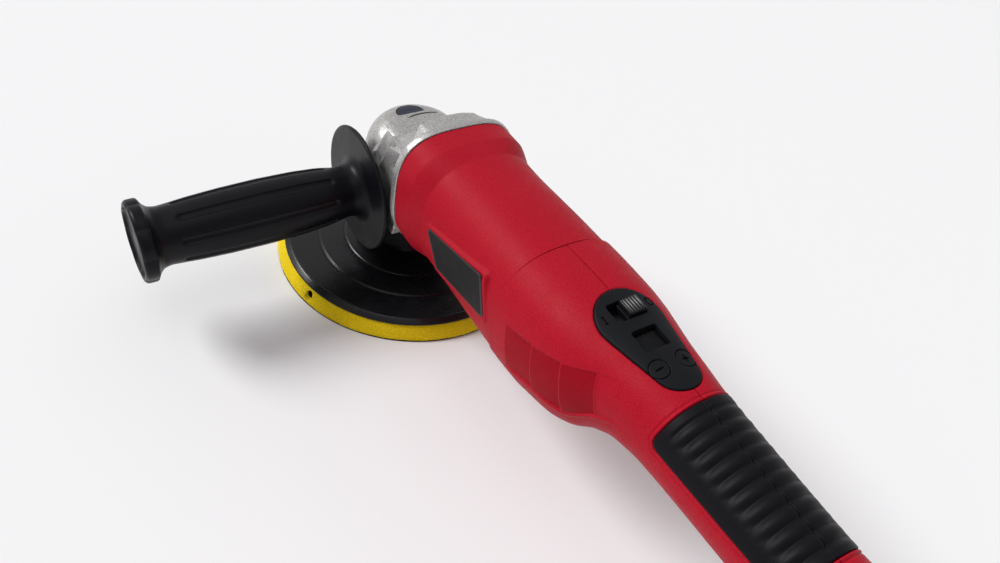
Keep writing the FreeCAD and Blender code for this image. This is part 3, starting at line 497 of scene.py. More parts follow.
def polygon_distance(u, v, outline, radius):
    """Signed distance to a convex outline, anticlockwise, with rounded corners."""
    corners = np.array(outline, float)
    shift = np.roll(corners, -1, 0) - corners
    along = shift / np.linalg.norm(shift, axis=1)[:, None]
    normal = np.stack([along[:, 1], -along[:, 0]], -1)
    inset = (normal * corners).sum(1) - radius
    pulled = np.array([np.linalg.solve(normal[[k - 1, k]], inset[[k - 1, k]]) for k in range(len(corners))])
    inside = np.full(np.shape(u), -1e9)
    outside = np.full(np.shape(u), 1e9)
    for start, end, way, out in zip(pulled, np.roll(pulled, -1, 0), along, normal):
        du = u - start[0]
        dv = v - start[1]
        inside = np.maximum(inside, du * out[0] + dv * out[1])
        t = np.clip(du * way[0] + dv * way[1], 0, np.linalg.norm(end - start))
        outside = np.minimum(outside, np.hypot(du - t * way[0], dv - t * way[1]))
    return np.where(inside < 0, inside, outside) - radius


# ---------------------------------------------------------------- materials
def linear(r, g, b):
    """Linear colour from screen values 0-255."""
    values = [c / 255 for c in (r, g, b)]
    return tuple(c / 12.92 if c <= 0.04045 else ((c + 0.055) / 1.055) ** 2.4 for c in values) + (1.0,)


class Finish:
    """A node material that is built up detail by detail on object coordinates."""

    def __init__(self, name, colour, roughness, metallic=0.0, specular=0.5):
        self.material = bpy.data.materials.new(name)
        self.material.use_nodes = True
        self.tree = self.material.node_tree
        self.shader = next(n for n in self.tree.nodes if n.type == "BSDF_PRINCIPLED")
        values = {"Base Color": colour, "Roughness": roughness, "Metallic": metallic,
                  "Specular IOR Level": specular}
        for key, value in values.items():
            self.shader.inputs[key].default_value = value
        self.coordinates = self.tree.nodes.new("ShaderNodeTexCoord").outputs["Object"]
        self.normal = None

    def node(self, kind, **values):
        made = self.tree.nodes.new(kind)
        for key, value in values.items():
            made.inputs[key].default_value = value
        return made

    def link(self, start, end):
        self.tree.links.new(start, end)

    def stretched(self, stretch):
        mapping = self.node("ShaderNodeMapping", Scale=stretch)
        self.link(self.coordinates, mapping.inputs["Vector"])
        return mapping.outputs["Vector"]

    def noise(self, scale, detail=3.0, roughness=0.5, stretch=(1, 1, 1)):
        made = self.node("ShaderNodeTexNoise", Scale=scale, Detail=detail, Roughness=roughness)
        self.link(self.stretched(stretch), made.inputs["Vector"])
        return made.outputs["Fac"]

    def cells(self, scale):
        made = self.node("ShaderNodeTexVoronoi", Scale=scale)
        self.link(self.coordinates, made.inputs["Vector"])
        return made.outputs["Distance"]

    def bands(self, scale, distortion, direction="X", detail=2.0):
        made = self.node("ShaderNodeTexWave", Scale=scale, Distortion=distortion, Detail=detail)
        made.bands_direction = direction
        self.link(self.coordinates, made.inputs["Vector"])
        return made.outputs["Fac"]

    def bump(self, height, depth, strength=1.0):
        made = self.node("ShaderNodeBump", Strength=strength, Distance=depth * MM)
        self.link(height, made.inputs["Height"])
        if self.normal is not None:
            self.link(self.normal, made.inputs["Normal"])
        self.normal = made.outputs["Normal"]
        self.link(self.normal, self.shader.inputs["Normal"])

    def vary_roughness(self, value, low, high, to_low, to_high):
        values = {"From Min": low, "From Max": high, "To Min": to_low, "To Max": to_high}
        made = self.node("ShaderNodeMapRange", **values)
        self.link(value, made.inputs["Value"])
        self.link(made.outputs["Result"], self.shader.inputs["Roughness"])

    def vary_colour(self, value, low, high, first, second):
        ramp = self.node("ShaderNodeValToRGB")
        for element, position, colour in zip(ramp.color_ramp.elements, (low, high), (first, second)):
            element.position = position
            element.color = colour
        self.link(value, ramp.inputs["Fac"])
        self.link(ramp.outputs["Color"], self.shader.inputs["Base Color"])


def moulded_plastic(name, colour, roughness, grain=2600.0, depth=0.02, specular=0.5, spread=0.06):
    """Moulded plastic: spark-eroded grain and a slow unevenness of form and gloss."""
    finish = Finish(name, colour, roughness, 0.0, specular)
    finish.bump(finish.noise(grain, 2.0, 0.6), depth)
    finish.bump(finish.noise(60.0, 2.0), 0.05)
    finish.vary_roughness(finish.noise(90.0, 5.0, 0.65), 0.3, 0.7, roughness - spread, roughness + spread)
    return finish


def flecked(finish, first, second):
    """Adds the fine light and dark flecks of a sparked mould surface."""
    finish.vary_colour(finish.noise(1500.0, 2.0, 0.7), 0.36, 0.62, first, second)
    return finish.material


# a darker copy of the body's red for the louvre panels: painted shade, so that the panels read as turned from
# the light
louvre_painted_shade_red = moulded_plastic("louvre_painted_shade_red", linear(150, 9, 27), 0.5, 1300.0, 0.14, 0.06)
louvre_painted_shade_red = flecked(louvre_painted_shade_red, linear(140, 8, 25), linear(160, 11, 31))
red_plastic = moulded_plastic("red_plastic", linear(168, 13, 34), 0.5, 1300.0, 0.14, 0.1)
red_plastic = flecked(red_plastic, linear(157, 11, 31), linear(180, 17, 39))
black_gloss = moulded_plastic("black_gloss_plastic", linear(18, 19, 22), 0.2, 1500.0, 0.006, 0.4, 0.06)
black_satin = moulded_plastic("black_satin_plastic", linear(10, 10, 16), 0.36, 2000.0, 0.02, 0.18)
panel_plastic = moulded_plastic("panel_plastic", linear(19, 20, 24), 0.5, 3200.0, 0.03, 0.12).material
knob_plastic = moulded_plastic("knob_plastic", linear(15, 16, 19), 0.34, 2600.0, 0.005, 0.35).material
lock_plastic = moulded_plastic("lock_plastic", linear(38, 43, 58), 0.4, 2600.0, 0.015, 0.3).material
inner_plastic = moulded_plastic("inner_plastic", linear(26, 26, 28), 0.5, 1800.0, 0.03, 0.3).material
mark_plastic = moulded_plastic("display_segment", linear(150, 152, 154), 0.5, 3000.0, 0.01).material
display_plastic = moulded_plastic("display_block", linear(84, 84, 86), 0.5, 2000.0, 0.01).material
# near-black for the printed signs and marks, and also for painted shade: the plugs in the foam's vent holes and
# the strips in the shell seams
ink_and_shade_plastic = moulded_plastic("mark_ink_and_painted_shade", linear(1, 1, 2), 0.7, 3000.0, 0.01, 0.03).material

rubber = moulded_plastic("grip_rubber", linear(11, 9, 15), 0.5, 3600.0, 0.03, 0.14, 0.05).material
plate_label = moulded_plastic("plate_label", linear(22, 21, 25), 0.45, 900.0, 0.012, 0.15).material
label_border = moulded_plastic("label_border", linear(24, 24, 26), 0.4, 2000.0, 0.01).material


def scratched(finish, low):
    """Adds fine rub marks to a dark glossy plastic."""
    rubs = finish.noise(40.0, 8.0, 0.75, (1.0, 3.0, 1.6))
    finish.vary_roughness(rubs, 0.4, 0.72, low, low + 0.13)
    finish.bump(finish.noise(220.0, 4.0, 0.7, (1.0, 3.0, 1.6)), 0.006)
    return finish.material


plate_plastic = scratched(black_gloss, 0.25)
handle_plastic = scratched(black_satin, 0.34)


def cast_metal():
    """Sand-blasted aluminium casting: grain, slow unevenness and a fine light and dark speckle."""
    finish = Finish("cast_aluminium", linear(196, 197, 200), 0.42, 0.8)
    finish.bump(finish.noise(900.0, 3.0, 0.7), 0.09)
    finish.bump(finish.noise(120.0, 3.0, 0.6), 0.18)
    finish.vary_roughness(finish.noise(160.0, 5.0, 0.7), 0.35, 0.7, 0.34, 0.55)
    speckle = finish.noise(1300.0, 2.0, 0.8)
    finish.vary_colour(speckle, 0.32, 0.66, linear(138, 136, 136), linear(216, 214, 212))
    return finish.material


def machined_metal(name, colour, roughness):
    """Turned or milled metal with fine tool lines."""
    finish = Finish(name, colour, roughness, 1.0)
    finish.bump(finish.noise(700.0, 2.0, 0.5, (1.0, 1.0, 12.0)), 0.01)
    finish.vary_roughness(finish.noise(300.0, 4.0, 0.7), 0.3, 0.7, roughness - 0.07, roughness + 0.1)
    return finish.material


def foam_material():
    """Open-cell foam with pores of two sizes; the insides of the pores are painted darker as shade."""
    finish = Finish("yellow_foam", linear(226, 192, 16), 0.88, 0.0, 0.2)
    finish.bump(finish.cells(1100.0), 0.28)
    finish.bump(finish.noise(500.0, 4.0, 0.7), 0.2)
    # painted shade: the centres of the pore pattern are coloured darker, as shade inside the pores
    pore_shade = finish.cells(850.0)
    finish.vary_colour(pore_shade, 0.05, 0.4, linear(190, 156, 6), linear(236, 204, 20))
    finish.shader.inputs["Subsurface Weight"].default_value = 0.15
    finish.shader.inputs["Subsurface Radius"].default_value = (0.002, 0.0015, 0.0004)
    return finish.material


def hook_material():
    """Fine dark loops of the hook-and-loop face."""
    finish = Finish("hook_fabric", linear(26, 26, 28), 0.9, 0.0, 0.25)
    loops = finish.cells(1600.0)
    finish.bump(loops, 0.35)
    finish.vary_colour(loops, 0.05, 0.5, linear(48, 48, 50), linear(16, 16, 18))
    return finish.material


def glass_material():
    """Smoked window: part clear, part mirror."""
    finish = Finish("window", linear(30, 31, 34), 0.12)
    finish.vary_roughness(finish.noise(260.0, 4.0), 0.0, 1.0, 0.06, 0.26)
    clear = finish.node("ShaderNodeBsdfTransparent", Color=linear(170, 172, 176))
    mix = finish.node("ShaderNodeMixShader", Fac=0.25)
    output = next(n for n in finish.tree.nodes if n.type == "OUTPUT_MATERIAL")
    finish.link(clear.outputs["BSDF"], mix.inputs[1])
    finish.link(finish.shader.outputs["BSDF"], mix.inputs[2])
    finish.link(mix.outputs["Shader"], output.inputs["Surface"])
    return finish.material


def fibre_board():
    finish = Finish("circuit_board", linear(24, 82, 52), 0.4)
    finish.bump(finish.noise(1400.0, 2.0, 0.5), 0.02)
    finish.vary_colour(finish.cells(380.0), 0.1, 0.5, linear(20, 70, 44), linear(38, 104, 66))
    return finish.material


def wound_copper():
    finish = Finish("copper_winding", linear(184, 96, 48), 0.34, 1.0)
    finish.bump(finish.bands(700.0, 1.5), 0.25)
    finish.vary_colour(finish.noise(300.0, 3.0), 0.3, 0.7, linear(150, 74, 34), linear(200, 112, 58))
    return finish.material


def laminated_steel():
    finish = Finish("lamination_steel", linear(120, 122, 126), 0.45, 1.0)
    finish.bump(finish.bands(900.0, 0.2, "Y"), 0.12)
    finish.vary_roughness(finish.noise(400.0, 4.0), 0.3, 0.7, 0.35, 0.6)
    return finish.material


aluminium = cast_metal()
steel = machined_metal("steel", linear(188, 190, 194), 0.28)
brass = machined_metal("brass_holder", linear(206, 168, 90), 0.3)
carbon = moulded_plastic("carbon", linear(38, 38, 40), 0.6, 1600.0, 0.04).material

SLOT_FINISHES = {
    "red_plastic": red_plastic,
    "black_plastic": inner_plastic,
    "button_plastic": knob_plastic,
    "cast_aluminium": aluminium,
    "yellow_foam": foam_material(),
    "hook_fabric": hook_material(),
    "grip_rubber": rubber,
    "steel": steel,
    "lamination_steel": laminated_steel(),
    "copper_winding": wound_copper(),
    "brass_holder": brass,
    "carbon": carbon,
    "circuit_board": fibre_board(),
    "window": glass_material(),
    "plate_label": plate_label,
}


# ---------------------------------------------------------------- pad
def build_hook_layer():
    profile = rounded_profile([(0, 0, 0), (90, 0, 0.25), (90, 0.8, 0.25), (0, 0.8, 0)])
    obj = revolved("hook_layer_looks", profile, "z", (0, 0, 0), 360)
    finish_piece(obj, "pad", SLOT_FINISHES["hook_fabric"], "hook_fabric", "hook_layer")


def build_foam():
    """Foam disc with four vent holes in its tapered edge and a slightly uneven cut."""
    corners = [(0, 0.8, 0), (89.9, 0.8, 0.5), (90.0, 2.6, 3.0), (85.3, 9.2, 1.2), (84.6, 9.8, 0.3), (0, 9.8, 0)]
    outline = rounded_profile(corners, 6)
    edge = dense_profile(outline[1:-1], 0.7)
    keep = [edge[0]] + [p for p in edge if p[0] > 80] + [edge[-1]]
    profile = np.concatenate([outline[:1], keep, outline[-1:]])
    vent_z = 5.2
    vent_turns = [math.radians(195 + 90 * k) for k in range(4)]

    def vents(radius, along, turn):
        sink = np.zeros(np.broadcast(radius, turn).shape)
        for centre in vent_turns:
            away = np.hypot(angle_apart(turn, centre) * 88.0, along - vent_z)
            sink = sink - 9.0 * smoothstep(2.9, 2.3, away) - 0.25 * smoothstep(4.2, 2.8, away)
        ripple = 0.12 * np.sin(7 * turn + 0.6) + 0.07 * np.sin(23 * turn + 1.9) + 0.04 * np.sin(61 * turn)
        return np.where(radius > 80, sink + ripple * smoothstep(80, 86, radius), 0.0)

    obj = revolved("foam_looks", profile, "z", (0, 0, 0), 1080, vents, 60)
    # a near-black plug inside each vent hole: painted shade, darkening the hole's inside
    for k, turn in enumerate(vent_turns):
        shade_plug = cylinder_piece(f"vent_hole_shade_plug_{k}", 2.15, 79.0, 86.4, "x", (0, 0, vent_z), 48)
        shade_plug.data.transform(Matrix.Rotation(turn, 4, "Z"))
        finish_piece(shade_plug, "pad", ink_and_shade_plastic, "hook_fabric")
    finish_piece(obj, "pad", SLOT_FINISHES["yellow_foam"], "yellow_foam", "foam_layer")


def build_backing_plate():
    """Moulded plate: glossy bevelled rim, a fine ring groove and low concentric steps up to the hub."""
    corners = [(0, 9.8, 0), (84.9, 9.8, 0.3), (85.5, 10.5, 0.5), (85.3, 11.2, 0.6), (82.4, 13.5, 0.9),
               (81.6, 13.6, 0.3), (80.9, 13.25, 0.3), (64.2, 13.45, 0.4), (63.5, 12.75, 0.4),
               (62.2, 12.75, 0.4), (61.5, 13.55, 0.4), (46.6, 14.45, 0.5), (45.8, 14.1, 0.4),
               (45.0, 14.15, 0.4), (44.2, 14.7, 0.5), (34.0, 15.3, 1.0), (24.4, 15.9, 1.6),
               (19.2, 21.6, 0.8), (18.0, 22.0, 0.6), (8.2, 22.0, 0.4), (8.0, 21.0, 0.2), (0, 21.0, 0)]
    obj = revolved("backing_plate_looks", rounded_profile(corners, 6), "z", (0, 0, 0), 360, None, 40)
    finish_piece(obj, "pad", plate_plastic, "black_plastic", "backing_plate")


def build_skirt():
    """Collar that hides the drive between the head and the pad."""
    corners = [(24.0, 45.0, 0), (25, 44, 0), (33.4, 44, 0.3), (33.4, 28, 0.4), (36.2, 28, 0.8), (36.7, 46, 0.5),
               (36.7, 51.6, 0.8), (33.2, 51.9, 0.3), (33.1, 46, 0.3), (25, 46, 0)]
    obj = ring_piece("drive_skirt_looks", corners, "z", SPINDLE, 240)
    finish_piece(obj, "housing", inner_plastic, "black_plastic", "drive_skirt")


# ---------------------------------------------------------------- gear head
DOME = [(0, 52), (33.2, 52), (33.4, 62), (33.0, 76), (32.4, 84), (31.2, 90), (29.0, 94.9), (26.5, 98.3),
        (24.0, 100.6), (21.0, 102.3), (18.0, 103.3), (14.0, 103.9), (7.0, 104.1), (0, 104.2)]

# y, then x and z of the side wall's top, of the raised crest above it and of the valley inside it
NECK_WALLS = [(2.0, 32.9, 90.0, 29.0, 95.0, 24.0, 97.0), (-5.0, 33.0, 96.0, 26.4, 109.8, 22.0, 103.6),
              (-18.0, 34.2, 98.0, 29.8, 114.6, 26.0, 110.5), (-40.0, 36.5, 101.0, 34.4, 121.6, 31.5, 121.0)]


def dome_height(x, y):
    return curve_through(DOME[:2:-1], np.hypot(x, y - SPINDLE[1]))


def lock_distance(x, y):
    """D-shaped outline of the lock button: flat towards the crest, round to the front."""
    box = box_distance(x, y - 18.9, 9.2, 5.1, 1.4)
    front = np.hypot(x, (y - 13.2) * 0.86) - 9.4
    return np.maximum(box, front)


def mirrored(y, half):
    """Section at y from its right half of (x, z) points; a point in the middle is not doubled."""
    return [(x, y, z) for x, z in half] + [(-x, y, z) for x, z in half[::-1] if x]


def build_gear_housing():
    """Casting: dome, neck, flange with its raised crest, ribs and handle bosses, with cast roundings."""
    dome = revolved("dome", rounded_profile([(r, z, 0.8) for r, z in DOME], 4), "z", SPINDLE)
    neck = loft_piece("neck", [(-40.0, 36.0, 122.4, 54, 4.8), (-29.0, 33.4, 118.0, 54, 4.6),
                               (-18.0, 30.8, 113.5, 54, 4.4), (-10.0, 28.9, 108.0, 54, 4.4),
                               (-2.0, 26.5, 101.5, 54, 4.2)])
    flange = loft_piece("flange", [(-43.0, 38.6, 130.4, 53.0, 3.1), (-40.2, 38.6, 130.4, 53.0, 3.1),
                                   (-39.4, 37.8, 129.6, 53.8, 3.1)])
    roof_low = 110.0
    roof = []
    for y, edge_x, edge_z, crown_z in ((-44.0, 19.2, 130.6, 132.2), (-40.0, 19.2, 130.5, 132.1),
                                       (-28.6, 18.4, 128.0, 130.3), (-26.8, 17.6, 124.6, 127.4),
                                       (-20.0, 15.2, 112.0, 114.4)):
        half = [(edge_x, roof_low), (edge_x, edge_z - 0.5), (edge_x - 1.2, edge_z), (edge_x / 2, crown_z - 0.5)]
        roof.append(mirrored(y, half + [(0, crown_z)]))
    walls = []
    for y, wall_x, wall_z, crest_x, crest_z, valley_x, valley_z in NECK_WALLS:
        walls.append(mirrored(y, [(wall_x, 60.0), (wall_x, wall_z), (crest_x, crest_z), (valley_x, valley_z)]))
    parts = [dome, neck, flange, hull_piece("roof", roof), hull_piece("walls", walls)]
    for side in (-1, 1):
        foot = [(side * 17, -40.5, 106), (side * 32, -40.5, 106), (side * 20, -24, 106)]
        crest = [(side * 17, -40.5, 130.0), (side * 29.6, -40.5, 124.6), (side * 18.2, -27.6, 127.0)]
        parts.append(hull_piece("gusset", [foot, crest]))
        rib = [(-40.0, 118.6), (-40.0, 90.0), (-12.0, 90.0), (-24.0, 112.6)]
        parts.append(hull_piece("rib", [[(side * x, y, z) for y, z in rib] for x in (33.2, 35.0)]))
        outline = [(0, 20.0), (12.6, 20.0), (12.2, 39.6), (11.4, 40.2), (0, 40.2)]
        parts.append(revolved("boss", [(r, side * h) for r, h in outline], "x", (0, 0, HANDLE_Z), 96))
        web = ((-39, 56), (-39, 63), (4, 68), (4, 60))
        parts.append(hull_piece("web", [[(side * x, y, z) for y, z in web] for x in (24.0, 36.8)]))
    obj = joined("gear_housing_looks", parts)
    melt = obj.modifiers.new("melt", "REMESH")
    melt.mode = "VOXEL"
    melt.voxel_size = 0.56 * MM
    soften = obj.modifiers.new("soften", "SMOOTH")
    soften.factor = 0.5
    soften.iterations = 1
    apply_modifiers(obj)
    cavity = [(0, 45), (28.0, 45), (28.0, 85), (26.5, 89.5), (22, 95), (16, 98.6), (0, 99.6)]
    neck_bore = [(0, -50), (33.5, -50), (33.5, -41.0), (18.2, -40.9), (18.2, -38.1), (14.1, -38.0),
                 (14.1, -29.9), (11.6, -29.8), (11.6, -4.3), (0, -4.2)]
    cutters = [revolved("cut", cavity, "z", SPINDLE, 96),
               revolved("cut", neck_bore, "y", (0, 0, MOTOR_Z), 96),
               cylinder_piece("cut", STUD_RADIUS, -45.3, -26.2, "x", (0, 0, HANDLE_Z)),
               cylinder_piece("cut", 4.02, 26.1, 45.2, "x", (0, 0, HANDLE_Z)),
               outline_prism("cut", star_outline(lock_distance, LOCK_CENTRE, 72, 20, 0.3), 89.7, 125.0),
               outline_prism("cut", arc_outline(), 101.6, 118.0)]
    carve(obj, *cutters)
    set_smooth(obj, 42)
    finish_piece(obj, "housing", aluminium, "cast_aluminium", "gear_housing")


def body_loop(stations, y, growth, segments):
    """Points right round the body at y, grown outwards."""
    x, z = body_point(stations, np.full(segments, y), full_turn(segments), growth)
    return np.stack([x, np.full(segments, y), z], -1)


def build_flange_ring():
    """Machined rim of the casting, where the motor body bolts on."""
    segments = 360
    inner_radius = 34.0
    profile = ((-44.3, 0.25), (-44.05, 0.62), (-43.6, 0.75), (-40.4, 0.75), (-39.7, 0.55), (-39.2, -0.2))
    loops = []
    for y, growth in profile:
        loop = body_loop(COLLAR_STATIONS, HEAD_FLANGE_Y, growth, segments)
        loop[:, 1] = y
        loops.append(loop)
    turn = full_turn(segments)
    bore = [[inner_radius * np.cos(turn), np.full(segments, y), MOTOR_Z + inner_radius * np.sin(turn)]
            for y in (-44.3, -39.2)]
    loops = [np.stack(bore[0], -1)] + loops + [np.stack(bore[1], -1)]
    finish_piece(closed_ring("flange_rim", loops, 30), "housing", aluminium, "cast_aluminium")


def arc_outline():
    """Shallow curved slot behind the lock button."""
    along = np.linspace(-4.6, 16.6, 25)
    middle = 9.4 + 1.6 * (1 - ((along - 6.0) / 10.6) ** 2)
    width = 0.75 * np.sqrt(np.clip(1 - ((along - 6.0) / 10.8) ** 4, 0, 1))
    return list(zip(along, middle - width)) + list(zip(along[::-1], (middle + width)[::-1]))


def build_lock_button():
    def top(x, y, distance):
        return dome_height(x, y) - 0.1 - rounded_drop(-distance, 0.7) - 0.3 * np.exp(-((y - 17.0) / 3.0) ** 2)

    obj = capped_piece("lock_button_looks", lock_distance, LOCK_CENTRE, top, 95.9, 160, 0.4)
    finish_piece(obj, "lock", lock_plastic, "button_plastic", "lock_button")


# ---------------------------------------------------------------- front body
SIDE_PAD = [(-77.0, 99.0), (-139.5, 113.5), (-148.5, 85.0), (-93.5, 76.0)]
SIDE_PAD_X = 38.6
PLATE_OUTLINE = [(-80.6, 98.2), (-137.0, 111.4), (-145.6, 87.0), (-95.5, 79.4)]


def sheet_rings(stations, y_values, angles, growth):
    """Grid of body points; growth is called with y and the ungrown x and z."""
    y, angle = np.meshgrid(y_values, angles, indexing="ij")
    x, z = body_point(stations, y, angle, growth(y, *body_point(stations, y, angle)))
    return np.stack([x, y, z], -1)


def front_growth(y, x, z):
    """Relief of the front body: rounded ends and a faint parting line along the top."""
    grown = -rounded_drop(HEAD_FLANGE_Y - y, 0.9)
    grown -= rounded_drop(y - (SEAM_Y + SEAM_GAP), EDGE)
    line = np.abs(x) + np.where(z > MOTOR_Z, 0.0, 50.0)
    grown -= 0.1 * np.exp(-(line / 0.35) ** 2)
    return grown


def build_motor_housing():
    """Front shell with a raised pad on each flank; the left one is dished for the name plate."""
    y_values = padded_to(spaced([(-44.4, 0.15), (-45.6, 0.6), (-57.5, 0.4), (-62.5, 0.7), (-70.5, 0.4),
                                 (-76.5, 0.8), (-150.9, 0.12), (SEAM_Y + SEAM_GAP, 0)]), 4)
    angles = full_turn(360) + math.pi / 2
    outer = sheet_rings(COLLAR_STATIONS, y_values, angles, front_growth)
    x, y, z = np.moveaxis(outer, -1, 0)
    inside = polygon_distance(y, z, SIDE_PAD, 3.0)
    raised = np.clip(SIDE_PAD_X - np.abs(x), 0.0, 2.4)
    rise = raised * smoothstep(0.5, -0.6, inside)
    dish = 0.28 * smoothstep(0.35, -0.1, polygon_distance(y, z, PLATE_OUTLINE, 2.6)) * (x < 0)
    side = np.sign(x) * (np.abs(x) > 20)
    outer[..., 0] = x + side * (rise - dish)
    inner = sheet_rings(COLLAR_STATIONS, y_values[::4], angles[::4], lambda y, x, z: x * 0 - WALL)
    obj = shell_object("motor_housing_looks", outer, inner, 4, closed=True)
    finish_piece(obj, "housing", red_plastic, "red_plastic", "motor_housing")


def side_piece(name, outline, corner, x_back, x_face):
    """Thin rounded plate on the left side; its face looks along -X."""
    def distance(u, v):
        return polygon_distance(u, v, outline, corner)

    def top(u, v, d):
        return -x_face - rounded_drop(-d, 0.25)

    obj = capped_piece(name, distance, np.mean(np.array(outline), 0), top, -x_back, 320, 0.6)
    upright_to_side = Matrix(((0, 0, -1), (1, 0, 0), (0, 1, 0))).to_4x4()  # a reflection
    obj.data.transform(upright_to_side)
    obj.data.flip_normals()
    return obj


def build_name_plate():
    border = side_piece("name_plate_border", PLATE_OUTLINE, 2.4, -38.0, -38.85)
    corners = np.array(PLATE_OUTLINE)
    inwards = corners.mean(0) - corners
    inset = corners + 2.0 * inwards / np.linalg.norm(inwards, axis=1)[:, None]
    face = side_piece("name_plate_face", inset, 1.6, -38.4, -38.95)
    finish_piece(border, "housing", label_border, "black_plastic")
    finish_piece(face, "housing", plate_label, "plate_label", "name_plate")


# ---------------------------------------------------------------- rear body
# y of each rib between the louvres at z 103, and how far it leans back for each millimetre up
RIB_LINES = [(-164.3, 0.23), (-186.5, 0.26), (-207.0, 0.31), (-227.4, 0.36)]
VENT_UPPER = [(-243.0, 128.5), (-231.2, 125.1), (-220.6, 121.2), (-204.2, 113.9), (-184.9, 108.1),
              (-164.3, 103.2), (-158.0, 102.0)]
VENT_LOWER = [(-243.0, 108.4), (-240.3, 107.0), (-228.8, 99.3), (-211.7, 84.8), (-193.2, 82.0), (-170.3, 76.9),
              (-158.0, 75.0)]
VENT_DEPTH = 1.008
LAST_VENT_DEPTH = 0.269
FADE_LENGTH = 14.0


def vent_lines(y, z):
    """Upper and lower edge of the louvres at y, and the y of the ribs between them at z."""
    ribs = [start + lean * (z - 103.0) for start, lean in RIB_LINES]
    return curve_through(VENT_UPPER, y), curve_through(VENT_LOWER, y), ribs


def vent_relief(y, z):
    """Depth of the sloping louvre panels on the body's flank, and the lit lip below them."""
    upper, lower, ribs = vent_lines(y, z)
    depth = np.zeros_like(y)
    for front, back in zip(ribs[:-1], ribs[1:]):
        share = (front - y) / (front - back)
        slope = VENT_DEPTH * np.clip(share, 0, 1) ** 0.9 * smoothstep(0.15, 1.0, y - back)
        depth = np.where((share > 0) & (share <= 1), slope, depth)
    behind = ribs[-1] - y
    last = LAST_VENT_DEPTH * smoothstep(0.0, 0.9, behind) * (1 - smoothstep(0.0, FADE_LENGTH, behind))
    depth = np.where(behind > 0, last, depth)
    band = smoothstep(upper, upper - 1.0, z) * smoothstep(lower, lower + 1.2, z)
    lip = 0.45 * np.exp(-((z - lower + 1.0) / 0.9) ** 2) * (y < ribs[0] + 0.5) * smoothstep(-243.0, -236.0, y)
    return depth * band, lip


def shaded_louvre_area(y, z):
    """True on the faces of the three louvre panels, which get the darker red of painted shade."""
    upper, lower, ribs = vent_lines(y, z)
    area = np.zeros(np.shape(y), dtype=bool)
    for front, back in zip(ribs[:-1], ribs[1:]):
        area |= (y < front - 0.5) & (y > back + 0.8)
    return area & (z < upper - 0.5) & (z > lower + 0.8)


def rear_growth(y, x, z):
    """Relief of the rear body: seams, louvres, and the beds of the rubber grips and the control panel."""
    grown = -rounded_drop((SEAM_Y - SEAM_GAP) - y, 0.7)
    grown -= rounded_drop(y - TAIL_Y, 1.4)
    depth, lip = vent_relief(y, z)
    grown += lip - depth
    grip = np.where(z > 105, grip_distance(y, z), 20.0)
    grown += 0.3 * np.exp(-((grip - 1.1) / 0.6) ** 2) - 0.45 * np.exp(-((grip - 2.2) / 0.45) ** 2)
    grown -= 1.35 * smoothstep(0.42, -0.1, grip) + 0.25 * smoothstep(0.75, 0.3, grip)
    panel = np.where(z > 115, teardrop_distance(x, y), 20.0)
    grown -= rounded_drop(np.maximum(panel - PANEL_GAP, 0.0), 0.55)
    return grown


def shift_from_seam(grid, gap, side):
    """Moves one half's points off the middle plane by a gap, without folding any over, and to its own side."""
    reach = grid[..., 0].max()
    grid[..., 0] = (np.maximum(grid[..., 0], 0.0) * (1 - gap / reach) + gap) * side


def build_rear_shell(side):
    """One half of the two-part handle, closed to a thin wall."""
    y_values = spaced([(SEAM_Y - SEAM_GAP, 0.15), (-153.4, 0.5), (-162.0, 0.42), (-246.0, 0.6), (-255.0, 0.42),
                       (-262.0, 0.9), (-336.0, 0.42), (-343.5, 1.0), (-376.4, 0.2), (TAIL_Y, 0)])
    y_values = padded_to(y_values, 4)
    degrees = spaced([(90.0, 0.12), (89.0, 0.72), (-32.0, 1.8), (-89.0, 0.25), (-90.0, 0)])
    angles = np.radians(padded_to(degrees, 4))

    def cut_flat(grid):
        shift_from_seam(grid, SEAM_GAP, 1)
        edge = grid[..., 0] - SEAM_GAP
        grid[..., 2] -= rounded_drop(edge, 0.3) * np.sign(grid[..., 2] - 100.0)
        grid[..., 0] *= side
        return grid

    outer = cut_flat(sheet_rings(REAR_STATIONS, y_values, angles, rear_growth))

    def inner_growth(y, x, z):
        depth, _ = vent_relief(y, z)
        return -WALL - 2.2 * smoothstep(0.1, 0.6, depth) - 0.6 * smoothstep(2.0, -1.0, grip_distance(y, z))

    inner = sheet_rings(REAR_STATIONS, y_values[::4], angles[::4], inner_growth)
    shift_from_seam(inner, SEAM_GAP, side)
    name = "handle_shell_left" if side < 0 else "handle_shell_right"
    obj = shell_object(name + "_looks", outer, inner, 4)
    finish_piece(obj, "housing", red_plastic, "red_plastic", name)
    # the louvre faces take a second, darker red: painted shade on the panels
    middle = (outer[:-1, :-1] + outer[1:, :-1] + outer[:-1, 1:] + outer[1:, 1:]) / 4
    louvre = shaded_louvre_area(middle[..., 1], middle[..., 2])
    painted_shade_index = np.zeros(len(obj.data.polygons), dtype=np.int32)
    painted_shade_index[:louvre.size] = louvre.ravel()
    obj.data.materials.append(louvre_painted_shade_red)
    obj.data.polygons.foreach_set("material_index", painted_shade_index)
    hole = star_outline(teardrop_distance, PANEL_CENTRE, 240, 60, PANEL_GAP)
    carve(obj, outline_prism("cut", hole, 118.0, 140.0))
    set_smooth(obj, 60)


